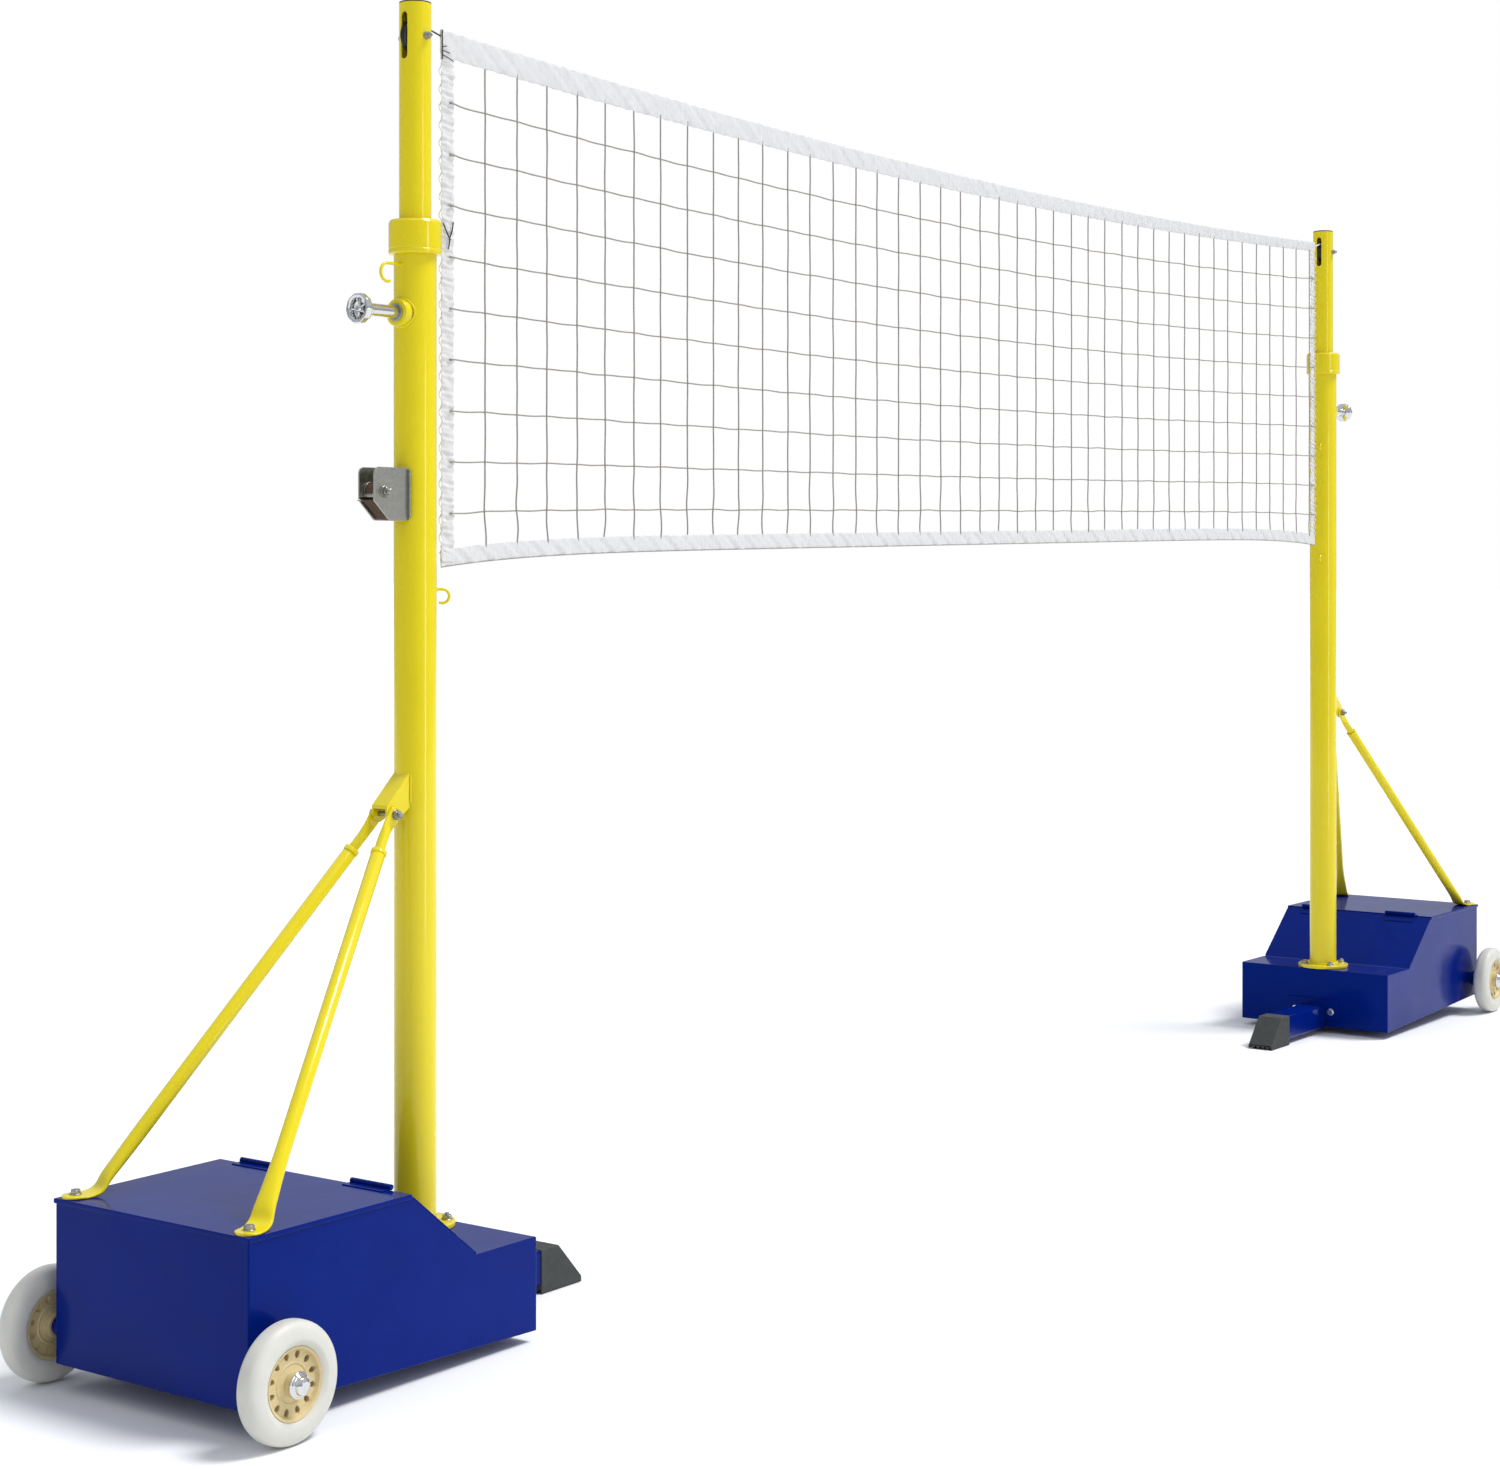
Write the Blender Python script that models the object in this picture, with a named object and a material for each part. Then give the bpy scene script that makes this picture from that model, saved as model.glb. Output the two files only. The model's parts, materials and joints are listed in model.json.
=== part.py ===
"""Mobile volleyball net set: two ballasted trolleys, each with a braced telescopic post, and the net.

Metres, +Z up. X runs along the net, with the left stand at -X, and Y runs across it. The origin is on
the floor, midway between the two posts. Within a stand, u is the distance from its post's axis away
from the net, so the same functions build both stands, and "near" pieces are those towards -Y.
"""

import math

import bmesh
import bpy
from mathutils import Matrix, Vector

# Fits
CLEAR = 0.0003  # gap kept between pieces that touch
TURN = 0.0003  # radial gap round an axle, a bolt or a sliding tube
GUIDE_GAP = 0.0005  # radial gap of the guide ring in the lower tube
THRUST = 0.0005  # gap beside a wheel
MERGE = 1e-5  # points closer than this are one point
ROUND = 24  # sides of a large round piece
MEDIUM_ROUND = 16  # sides of a pulley or a boss
SMALL_ROUND = 12  # sides of a bolt or a bar
BREAK = 0.001  # small chamfer on a turned edge

# Stands and trolleys
POST_SPACING = 4.055
TROLLEY_REAR = 0.650  # u of the outer end
TROLLEY_FRONT = -0.070  # u of the end that faces the other trolley
TROLLEY_WIDTH = 0.478
FRONT_BOTTOM = 0.020  # height of the floor panel at the front, from which it rises to the rear
REAR_BOTTOM = 0.047
DECK_HEIGHT = 0.1935
TROLLEY_TOP = 0.334
SLOPE_FOOT = 0.092  # u where the sloping panel leaves the deck
SLOPE_TOP = 0.265  # u where it meets the lid
SHEET = 0.003
LID_SHEET = 0.0025
LID_SKIRT = 0.0085
MOUTH_MARGIN = 0.022  # width of the flange left round the mouth under the lid
BALLAST_LENGTH = 0.280
BALLAST_WIDTH = 0.400
BALLAST_HEIGHT = 0.150
BALLAST_GAP = 0.027  # from its outer end to the axle
CAST_EDGE = 0.008

# Wheels
WHEEL_RADIUS = 0.1015
WHEEL_WIDTH = 0.048
WHEEL_INSET = 0.033  # from the trolley's outer end in to the axle
WHEEL_GAP = 0.032  # from the trolley's side to the wheel
RIM_RADIUS = 0.0612
RIM_WALL = 0.007
AXLE_RADIUS = 0.010
BOSS_WALL = 0.007  # of the trolley's boss round the axle
HUB_WALL = 0.011  # of the hub's own boss
HUB_HOLES = 12
HUB_HOLE_RADIUS = 0.005
HUB_HOLE_SIDES = 4
NUT_RADIUS = 0.0225
NUT_DEPTH = 0.018
NUT_BORE = 0.010

# Posts
OUTER_RADIUS = 0.040
TUBE_WALL = 0.003
OUTER_TOP = 2.062
FLANGE_RADIUS = 0.075
FLANGE_THICK = 0.009
WELD = 0.004
COLLAR_WALL = 0.010
COLLAR_GRIP = 0.051  # how far the collar reaches down the lower tube
COLLAR_RISE = 0.014  # how far it stands above that tube
INNER_RADIUS = 0.030
INNER_LENGTH = 1.220
POST_TOPS = {"left": 2.485, "right": 2.452}
GUIDE_HEIGHT = 0.040
CAP_FLANGE = 0.003
CAP_DEPTH = 0.012

# Clamp screw
CLAMP_DROP = 0.162  # below the lower tube's top
CLAMP_BOSS_RADIUS = 0.026
CLAMP_BOSS_DEPTH = 0.012
CLAMP_CHAMFER = 0.004
STEM_RADIUS = 0.012
NECK_RADIUS = 0.009
NECK_LENGTH = 0.010
STEM_POINT = 0.003
HANDWHEEL_GAP = 0.092  # from the lower tube to the handwheel
HANDWHEEL_RADIUS = 0.029
HANDWHEEL_THICK = 0.024
HANDWHEEL_ROUND = 0.005

# Pulleys and the cable over them
PULLEY_DROP = 0.066  # below the upper tube's top
PULLEY_U = 0.002
PULLEY_RADIUS = 0.033
PULLEY_GROOVE = 0.027
PULLEY_WIDTH = 0.012
PULLEY_PIN = 0.004
SLOT_SIDE = 0.0025  # room in the slot at each side of the pulley
SLOT_END = 0.012  # and above and below it
CABLE_RADIUS = 0.0025

# Struts, their bracket and its bolt
STRUT_INSET = 0.024  # from the trolley's edges in to the foot's bolt
STRUT_RADIUS = 0.0135
STRUT_FLAT = 0.005
STRUT_FOOT_HALF = 0.024
ROD_RADIUS = 0.0095
ROD_LENGTH = 0.046  # the narrower stretch below the eye
EYE_HALF = 0.0145
EYE_FLAT = 0.006
BRACKET_REACH = 0.040  # from the lower tube to the bolt
BRACKET_HEIGHT = 0.970
BRACKET_HALF = 0.0195
BRACKET_SHEET = 0.004
BRACKET_RISE = 0.086  # from the bolt up to the top of the roof, at the post
BRACKET_BOLT = 0.005

# Hooks for the net's ties: stand, name, bearing in degrees from the direction of the net towards -Y,
# drop from the lower tube's top, straight length and bend
HOOK_ROD = 0.003
HOOK_STEPS = 8
HOOK_STEP_ANGLE = 30
HOOKS = (
    ("left", "upper", 180, 0.072, 0.035, 0.017),
    ("left", "lower", 45, 0.677, 0.010, 0.013),
    ("right", "upper", 15, 0.267, 0.007, 0.008),
    ("right", "lower", 15, 0.607, 0.007, 0.008),
)

# Front foot
FOOT_PLATE_WIDTH = 0.162
FOOT_PLATE_BOTTOM = 0.043
FOOT_PLATE_TOP = 0.104
FOOT_PLATE_THICK = 0.005
FOOT_TUBE = 0.070
FOOT_TUBE_WALL = 0.003
FOOT_TUBE_BOTTOM = 0.016
FOOT_REACH = 0.250  # from the trolley's front to the rubber foot
RUBBER_SIDE = 0.0025  # how far the rubber stands out past each side of the tube
RUBBER_RISE = 0.001  # and above it
RUBBER_TOP_LENGTH = 0.052
RUBBER_BASE_LENGTH = 0.122
RUBBER_EDGE = 0.004
RUBBER_PLUG = 0.025
GROOVES = 4
GROOVE_DEPTH = 0.005

# Net
NET_GAP_LEFT = 0.030  # from the lower tube to the net's end
NET_GAP_RIGHT = 0.022
NET_DROP = 0.040  # from an upper tube's top to the net's corner
NET_HEIGHT_LEFT = 1.019
NET_HEIGHT_RIGHT = 0.926
TOP_SAG = 0.048
SAG_POWER = 2  # a slack top edge hangs in a parabola
BOTTOM_BOW = 0.023
BOW_POWER = 8  # the bottom edge is level but for its ends, which the ties pull down
TOP_BAND_LEFT = 0.051  # the top band's height where it is smooth, and where it is gathered
TOP_BAND_RIGHT = 0.028
BOTTOM_BAND = 0.033
BAND_THICK = 0.006
NET_THICK = 0.003
NET_STEPS = 20

# Winch, on the left post only
WINCH_DROP = 0.497  # from the lower tube's top to the shaft
WINCH_SHAFT_GAP = 0.062  # from the lower tube to the shaft
WINCH_LENGTH = 0.091  # from the lower tube to the bracket's edge
WINCH_ABOVE = 0.046
WINCH_BELOW = 0.052
WINCH_HALF = 0.0205
WINCH_SHEET = 0.003
WINCH_CHAMFER_U = 0.040
WINCH_CHAMFER_Z = 0.036
SPOOL_RADIUS = 0.026
SPOOL_CORE = 0.013
SPOOL_FLANGE = 0.002
SHAFT_RADIUS = 0.006

# Colours are linear red, green, blue
YELLOW = ((0.672, 0.578, 0.005), 0.30, 0.0)
BLUE = ((0.004, 0.022, 0.205), 0.22, 0.0)
TYRE_WHITE = ((0.760, 0.760, 0.720), 0.55, 0.0)
HUB_CREAM = ((0.610, 0.497, 0.262), 0.45, 0.0)
ZINC = ((0.520, 0.515, 0.480), 0.40, 1.0)
CHROME = ((0.780, 0.780, 0.770), 0.12, 1.0)
IRON = ((0.060, 0.060, 0.062), 0.70, 0.6)
RUBBER = ((0.028, 0.029, 0.025), 0.75, 0.0)
BLACK_PLASTIC = ((0.020, 0.020, 0.020), 0.50, 0.0)
STRING = ((0.230, 0.210, 0.195), 0.85, 0.0)
BAND_WHITE = ((0.880, 0.880, 0.880), 0.60, 0.0)

SIDES = {"left": -1, "right": 1}
NEAR_FAR = {"near": -1, "far": 1}
# Sizes that follow from those above
PANEL_HALF = TROLLEY_WIDTH / 2
LID_BASE = TROLLEY_TOP - LID_SHEET
WHEEL_U = TROLLEY_REAR - WHEEL_INSET
WHEEL_Y = PANEL_HALF + WHEEL_GAP + WHEEL_WIDTH / 2
POST_BORE = OUTER_RADIUS - TUBE_WALL
COLLAR_TOP = OUTER_TOP + COLLAR_RISE
CLAMP_HEIGHT = OUTER_TOP - CLAMP_DROP
WINCH_HEIGHT = OUTER_TOP - WINCH_DROP
CLAMP_BOSS_END = OUTER_RADIUS + CLAMP_BOSS_DEPTH
BRACKET_U = OUTER_RADIUS + BRACKET_REACH
RUBBER_WIDTH = FOOT_TUBE + 2 * RUBBER_SIDE
RUBBER_HEIGHT = FOOT_TUBE_BOTTOM + FOOT_TUBE + RUBBER_RISE
NET_LEFT = -POST_SPACING / 2 + OUTER_RADIUS + NET_GAP_LEFT
NET_RIGHT = POST_SPACING / 2 - OUTER_RADIUS - NET_GAP_RIGHT
NET_TOP_LEFT = POST_TOPS["left"] - NET_DROP
NET_TOP_RIGHT = POST_TOPS["right"] - NET_DROP


def stand(side, u, y, z):
    """A point of a stand, from its distance u away from the net."""
    return Vector((side * (POST_SPACING / 2 + u), y, z))


# Shapes


def block(bm, corner, opposite):
    """A box between two opposite corners."""
    size = Vector([abs(b - a) for a, b in zip(corner, opposite)])
    middle = (corner + opposite) / 2
    bmesh.ops.create_cube(bm, size=1, matrix=Matrix.Translation(middle) @ Matrix.Diagonal((*size, 1)))


def prism(bm, outline, sweep):
    """Fills an outline and carries it along the sweep."""
    face = bm.faces.new([bm.verts.new(point) for point in outline])
    copied = bmesh.ops.extrude_face_region(bm, geom=[face], use_keep_orig=True)["geom"]
    moved = [part for part in copied if isinstance(part, bmesh.types.BMVert)]
    bmesh.ops.translate(bm, verts=moved, vec=sweep)


def turned(bm, profile, centre, axis, steps=ROUND, ring=True):
    """Spins (radius, distance along the axis) points once round. A ring's profile closes on itself.

    An upright piece turns a flat side to X, and any other one has a corner at its lowest point.
    """
    axis = Vector(axis)
    half_step = math.pi / steps
    upright = Vector((math.cos(half_step), math.sin(half_step), 0))
    out = upright if abs(axis.z) > 0.5 else Vector((0, 0, -1))
    points = [bm.verts.new(centre + axis * along + out * radius) for radius, along in profile]
    pairs = list(zip(points, points[1:])) + ([(points[-1], points[0])] if ring else [])
    edges = [bm.edges.new(pair) for pair in pairs]
    bmesh.ops.spin(
        bm, geom=points + edges, cent=centre, axis=axis, dvec=(0, 0, 0), angle=2 * math.pi, steps=steps
    )
    bmesh.ops.remove_doubles(bm, verts=bm.verts, dist=MERGE)


def rod(bm, start, end, radius, sides=SMALL_ROUND):
    """A solid round or many-sided bar between two points."""
    along = end - start
    turn = Vector((0, 0, 1)).rotation_difference(along).to_matrix().to_4x4()
    bmesh.ops.create_cone(
        bm,
        cap_ends=True,
        segments=sides,
        radius1=radius,
        radius2=radius,
        depth=along.length,
        matrix=Matrix.Translation((start + end) / 2) @ turn,
    )


def skin(bm, rings):
    """Joins a row of rings with the same number of points, and closes both ends."""
    rows = [[bm.verts.new(point) for point in ring] for ring in rings]
    for low, high in zip(rows, rows[1:]):
        for i, point in enumerate(low):
            following = (i + 1) % len(low)
            bm.faces.new((point, low[following], high[following], high[i]))
    bm.faces.new(rows[0])
    bm.faces.new(rows[-1])


def oval(centre, across, up, half_across, half_up, square=1.0, count=12):
    """A ring of points: a circle or ellipse at square 1, and nearer a rectangle below that."""
    ring = []
    for i in range(count):
        c, s = math.cos(2 * math.pi * i / count), math.sin(2 * math.pi * i / count)
        x = math.copysign(abs(c) ** square, c) * half_across
        y = math.copysign(abs(s) ** square, s) * half_up
        ring.append(centre + across * x + up * y)
    return ring


# Objects


def add(name, bm, finish, origin=(0, 0, 0)):
    """Makes the mesh an object with its own material and with its origin at the given point."""
    bmesh.ops.remove_doubles(bm, verts=bm.verts, dist=MERGE)
    bmesh.ops.recalc_face_normals(bm, faces=bm.faces)
    bmesh.ops.translate(bm, verts=bm.verts, vec=-Vector(origin))
    mesh = bpy.data.meshes.new(name)
    bm.to_mesh(mesh)
    bm.free()
    mesh.shade_smooth()
    mesh.set_sharp_from_angle(angle=math.radians(35))
    made = bpy.data.objects.new(name, mesh)
    made.location = origin
    bpy.context.scene.collection.objects.link(made)
    if finish:
        paint(made, finish)
    return made


def paint(made, finish):
    """Gives an object a material of its own."""
    colour, roughness, metallic = finish
    material = bpy.data.materials.new(made.name)
    material.use_nodes = True
    shader = material.node_tree.nodes["Principled BSDF"]
    shader.inputs["Base Color"].default_value = (*colour, 1)
    shader.inputs["Roughness"].default_value = roughness
    shader.inputs["Metallic"].default_value = metallic
    made.data.materials.append(material)


def combine(target, bm, operation="DIFFERENCE"):
    """Cuts a shape out of an object, or joins it on, with a Boolean and a hidden tool."""
    tool = add(f"{target.name}_tool_{len(target.modifiers)}", bm, None)
    tool.hide_render = True
    tool.display_type = "WIRE"
    modifier = target.modifiers.new("shape", "BOOLEAN")
    modifier.operation = operation
    modifier.solver = "EXACT"
    modifier.object = tool


def rod_through(target, start, end, radius, sides=SMALL_ROUND):
    """Drills a round hole through an object."""
    bm = bmesh.new()
    rod(bm, start, end, radius, sides)
    combine(target, bm)


def clear_of_post(target, side, height):
    """Cuts an object back to the gap round the lower tube."""
    radius, reach = OUTER_RADIUS + CLEAR, 0.2
    profile = ((0, height - reach), (radius, height - reach), (radius, height + reach), (0, height + reach))
    bm = bmesh.new()
    turned(bm, profile, stand(side, 0, 0, 0), (0, 0, 1), ring=False)
    combine(target, bm)


def cord(name, points, radius, finish):
    """A round cord or bent bar along a row of points."""
    curve = bpy.data.curves.new(name, "CURVE")
    curve.dimensions = "3D"
    curve.bevel_depth = radius
    curve.bevel_resolution = 2
    curve.use_fill_caps = True
    spline = curve.splines.new("POLY")
    spline.points.add(len(points) - 1)
    for slot, point in zip(spline.points, points):
        slot.co = (*point, 1)
    made = bpy.data.objects.new(name, curve)
    bpy.context.scene.collection.objects.link(made)
    paint(made, finish)
    return made


# Trolley


def floor_height(u):
    """Height of the floor panel's underside, which rises from the front to the rear."""
    share = (u - TROLLEY_FRONT) / (TROLLEY_REAR - TROLLEY_FRONT)
    return FRONT_BOTTOM + (REAR_BOTTOM - FRONT_BOTTOM) * share


def trolley_outline(side, inset=0.0):
    """The side view of the folded box, or of its hollow when inset by the sheet."""
    slope = math.atan2(LID_BASE - DECK_HEIGHT, SLOPE_TOP - SLOPE_FOOT)
    shift = inset * math.tan(slope / 2)
    y = PANEL_HALF - inset
    front, rear = TROLLEY_FRONT + inset, TROLLEY_REAR - inset
    corners = (
        (front, floor_height(front) + inset),
        (rear, floor_height(rear) + inset),
        (rear, LID_BASE - inset),
        (SLOPE_TOP + shift, LID_BASE - inset),
        (SLOPE_FOOT + shift, DECK_HEIGHT - inset),
        (front, DECK_HEIGHT - inset),
    )
    return [stand(side, u, -y, z) for u, z in corners], Vector((0, 2 * y, 0))


def trolley_box(name, side):
    """Folded sheet box: a low deck for the post, a slope, and a deep bin with a mouth under the lid."""
    bm = bmesh.new()
    prism(bm, *trolley_outline(side))
    box = add(f"trolley_box_{name}", bm, BLUE)
    bm = bmesh.new()
    prism(bm, *trolley_outline(side, SHEET))
    combine(box, bm)
    bm = bmesh.new()
    mouth = PANEL_HALF - MOUTH_MARGIN
    block(
        bm,
        stand(side, SLOPE_TOP + MOUTH_MARGIN, -mouth, LID_BASE - 2 * SHEET),
        stand(side, TROLLEY_REAR - MOUTH_MARGIN, mouth, LID_BASE + SHEET),
    )
    combine(box, bm)
    for across in NEAR_FAR.values():
        bm = bmesh.new()
        centre = stand(side, WHEEL_U, across * (PANEL_HALF - SHEET / 2), WHEEL_RADIUS)
        length = WHEEL_GAP + SHEET / 2 - THRUST
        rod(bm, centre, centre + Vector((0, across * length, 0)), AXLE_RADIUS + BOSS_WALL)
        combine(box, bm, "UNION")
    centre = stand(side, WHEEL_U, 0, WHEEL_RADIUS)
    reach = Vector((0, WHEEL_Y, 0))
    rod_through(box, centre - reach, centre + reach, AXLE_RADIUS + TURN)


def box_lid(name, side):
    """Flat cover with its edge turned down over the bin on three sides."""
    bm = bmesh.new()
    inside = PANEL_HALF + CLEAR
    outside = inside + LID_SHEET
    rear = TROLLEY_REAR + CLEAR
    block(
        bm,
        stand(side, SLOPE_TOP, -outside, TROLLEY_TOP - LID_SKIRT),
        stand(side, rear + LID_SHEET, outside, TROLLEY_TOP + CLEAR),
    )
    lid = add(f"box_lid_{name}", bm, BLUE)
    bm = bmesh.new()
    block(
        bm,
        stand(side, SLOPE_TOP - LID_SKIRT, -inside, TROLLEY_TOP - 2 * LID_SKIRT),
        stand(side, rear, inside, LID_BASE + CLEAR),
    )
    combine(lid, bm)


def counterweight(name, side):
    """Cast block on the floor of the bin, ahead of the axle."""
    end = WHEEL_U - AXLE_RADIUS - BALLAST_GAP
    start = end - BALLAST_LENGTH
    lift = SHEET + 2 * CLEAR
    top = floor_height(start) + lift + BALLAST_HEIGHT
    outline = (
        (start, floor_height(start) + lift),
        (end, floor_height(end) + lift),
        (end, top),
        (start, top),
    )
    bm = bmesh.new()
    sweep = Vector((0, BALLAST_WIDTH, 0))
    prism(bm, [stand(side, u, -BALLAST_WIDTH / 2, z) for u, z in outline], sweep)
    weight = add(f"counterweight_{name}", bm, IRON)
    bevel = weight.modifiers.new("cast edge", "BEVEL")
    bevel.width = CAST_EDGE
    bevel.segments = 1


# Wheels


def wheel_axle(name, side):
    """Plain bar right through the trolley and both wheels."""
    bm = bmesh.new()
    centre = stand(side, WHEEL_U, 0, WHEEL_RADIUS)
    reach = Vector((0, WHEEL_Y + WHEEL_WIDTH / 2 + NUT_BORE, 0))
    rod(bm, centre - reach, centre + reach, AXLE_RADIUS)
    add(f"wheel_axle_{name}", bm, ZINC)


def tyre(label, centre):
    """Moulded tyre with full round shoulders."""
    half, bead = WHEEL_WIDTH / 2, RIM_RADIUS + CLEAR
    depth = WHEEL_RADIUS - bead
    side_view = ((0, 0.80), (0.11, 0.94), (0.40, 1.0), (0.75, 0.80), (0.94, 0.44))
    profile = [(bead + depth * r, -half * y) for r, y in side_view]
    profile += [(WHEEL_RADIUS, 0)] + [(radius, -along) for radius, along in reversed(profile)]
    bm = bmesh.new()
    turned(bm, profile, centre, (0, 1, 0))
    add(f"tyre_{label}", bm, TYRE_WHITE, centre)


def hub(label, centre):
    """Moulded hub: rim, dished web with a ring of holes, and a boss bored for the axle."""
    half, bore = WHEEL_WIDTH / 2, AXLE_RADIUS + TURN
    web, rim = half * 0.35, half * 0.78
    profile = [
        (bore, -half),
        (bore + HUB_WALL, -half),
        (bore + HUB_WALL, -web),
        (RIM_RADIUS - RIM_WALL, -web),
        (RIM_RADIUS - RIM_WALL / 2, -rim),
        (RIM_RADIUS, -rim),
    ]
    profile += [(radius, -along) for radius, along in reversed(profile)]
    bm = bmesh.new()
    turned(bm, profile, centre, (0, 1, 0))
    made = add(f"hub_{label}", bm, HUB_CREAM, centre)
    bm = bmesh.new()
    ring = RIM_RADIUS - RIM_WALL - 1.4 * HUB_HOLE_RADIUS
    for i in range(HUB_HOLES):
        turn = 2 * math.pi * (i + 0.5) / HUB_HOLES
        spot = centre + ring * Vector((math.sin(turn), 0, math.cos(turn)))
        depth = Vector((0, half, 0))
        rod(bm, spot - depth, spot + depth, HUB_HOLE_RADIUS, HUB_HOLE_SIDES)
    combine(made, bm)


def hub_nut(label, centre, across):
    """Domed nut with a blind bore over the axle's end."""
    start = centre + Vector((0, across * (WHEEL_WIDTH / 2 + THRUST), 0))
    bore = AXLE_RADIUS + TURN
    profile = (
        (0, NUT_DEPTH),
        (NUT_RADIUS * 0.50, NUT_DEPTH * 0.92),
        (NUT_RADIUS * 0.82, NUT_DEPTH * 0.60),
        (NUT_RADIUS * 0.94, NUT_DEPTH * 0.22),
        (NUT_RADIUS, 0),
        (bore, 0),
        (bore, NUT_BORE),
        (0, NUT_BORE),
    )
    bm = bmesh.new()
    turned(bm, profile, start, (0, across, 0), SMALL_ROUND, ring=False)
    add(f"hub_nut_{label}", bm, CHROME)


def wheels(name, side):
    """The axle of one trolley, and its two wheels."""
    wheel_axle(name, side)
    for place, across in NEAR_FAR.items():
        centre = stand(side, WHEEL_U, across * WHEEL_Y, WHEEL_RADIUS)
        tyre(f"{name}_{place}", centre)
        hub(f"{name}_{place}", centre)
        hub_nut(f"{name}_{place}", centre, across)


# Posts


def outer_post(name, side):
    """Lower tube, welded into a round flange on the deck, drilled for the clamp screw."""
    base = DECK_HEIGHT + CLEAR
    face = base + FLANGE_THICK
    profile = (
        (POST_BORE, base),
        (FLANGE_RADIUS, base),
        (FLANGE_RADIUS, face - BREAK),
        (FLANGE_RADIUS - BREAK, face),
        (OUTER_RADIUS + WELD, face),
        (OUTER_RADIUS, face + WELD),
        (OUTER_RADIUS, OUTER_TOP),
        (POST_BORE, OUTER_TOP),
    )
    bm = bmesh.new()
    turned(bm, profile, stand(side, 0, 0, 0), (0, 0, 1))
    post = add(f"outer_post_{name}", bm, YELLOW)
    start, end = stand(side, 0, 0, CLAMP_HEIGHT), stand(side, CLAMP_BOSS_END, 0, CLAMP_HEIGHT)
    rod_through(post, start, end, STEM_RADIUS + TURN, ROUND)


def post_collar(name, side):
    """Guide ring pressed over the top of the lower tube, bored for the upper one."""
    grip, bore = OUTER_RADIUS + CLEAR, INNER_RADIUS + TURN
    radius, bottom, step = OUTER_RADIUS + COLLAR_WALL, OUTER_TOP - COLLAR_GRIP, OUTER_TOP + CLEAR
    profile = (
        (grip, bottom),
        (radius - 2 * BREAK, bottom),
        (radius, bottom + 2 * BREAK),
        (radius, COLLAR_TOP - 2 * BREAK),
        (radius - 2 * BREAK, COLLAR_TOP),
        (bore, COLLAR_TOP),
        (bore, step),
        (grip, step),
    )
    bm = bmesh.new()
    turned(bm, profile, stand(side, 0, 0, 0), (0, 0, 1))
    add(f"post_collar_{name}", bm, YELLOW)


def capsule(side, u, half_width, height, middle):
    """Outline of a slot with round ends, in a plane across the post."""
    straight = height / 2 - half_width
    steps = 5
    points = []
    for end, first in ((straight, 0), (-straight, math.pi)):
        for i in range(steps + 1):
            turn = first + math.pi * i / steps
            z = middle + end + half_width * math.sin(turn)
            points.append(stand(side, u, half_width * math.cos(turn), z))
    return points


def inner_post(name, side):
    """Upper tube with a guide ring at its foot and a slot through its head for the pulley."""
    bore, rim = INNER_RADIUS - TUBE_WALL, POST_TOPS[name] - CAP_FLANGE - CLEAR
    guide, foot = POST_BORE - GUIDE_GAP, rim - INNER_LENGTH
    profile = (
        (bore, foot),
        (guide, foot),
        (guide, foot + GUIDE_HEIGHT),
        (INNER_RADIUS, foot + GUIDE_HEIGHT),
        (INNER_RADIUS, rim),
        (bore, rim),
    )
    bm = bmesh.new()
    turned(bm, profile, stand(side, 0, 0, 0), (0, 0, 1))
    post = add(f"inner_post_{name}", bm, YELLOW, stand(side, 0, 0, COLLAR_TOP))
    bm = bmesh.new()
    half_width, height = PULLEY_WIDTH / 2 + SLOT_SIDE, 2 * (PULLEY_RADIUS + SLOT_END)
    outline = capsule(side, -2 * INNER_RADIUS, half_width, height, POST_TOPS[name] - PULLEY_DROP)
    prism(bm, outline, Vector((side * 4 * INNER_RADIUS, 0, 0)))
    combine(post, bm)
    centre, reach = pulley_centre(name, side), Vector((0, 2 * INNER_RADIUS, 0))
    rod_through(post, centre - reach, centre + reach, PULLEY_PIN + TURN)


def post_cap(name, side):
    """Plastic plug in the top of the upper tube."""
    plug, top = INNER_RADIUS - TUBE_WALL - CLEAR, POST_TOPS[name]
    rim = top - CAP_FLANGE
    profile = (
        (0, top),
        (INNER_RADIUS - BREAK, top),
        (INNER_RADIUS, top - BREAK),
        (INNER_RADIUS, rim),
        (plug, rim),
        (plug, rim - CAP_DEPTH),
        (0, rim - CAP_DEPTH),
    )
    bm = bmesh.new()
    turned(bm, profile, stand(side, 0, 0, 0), (0, 0, 1), ring=False)
    add(f"post_cap_{name}", bm, BLACK_PLASTIC)


def pulley_centre(name, side):
    """The middle of a stand's pulley."""
    return stand(side, PULLEY_U, 0, POST_TOPS[name] - PULLEY_DROP)


def bolt(label, centre, half_grip, radius, head, nut, tail):
    """Bolt across the stand: head at +Y, nut and a short threaded tail at -Y, which touch what they grip."""
    wide = radius * 1.9
    profile = (
        (0, -half_grip - nut - tail),
        (radius, -half_grip - nut - tail),
        (radius, -half_grip - nut),
        (wide, -half_grip - nut),
        (wide, -half_grip),
        (radius, -half_grip),
        (radius, half_grip),
        (wide, half_grip),
        (wide, half_grip + head),
        (0, half_grip + head),
    )
    bm = bmesh.new()
    turned(bm, profile, centre, (0, 1, 0), SMALL_ROUND, ring=False)
    add(label, bm, ZINC, centre)


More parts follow.
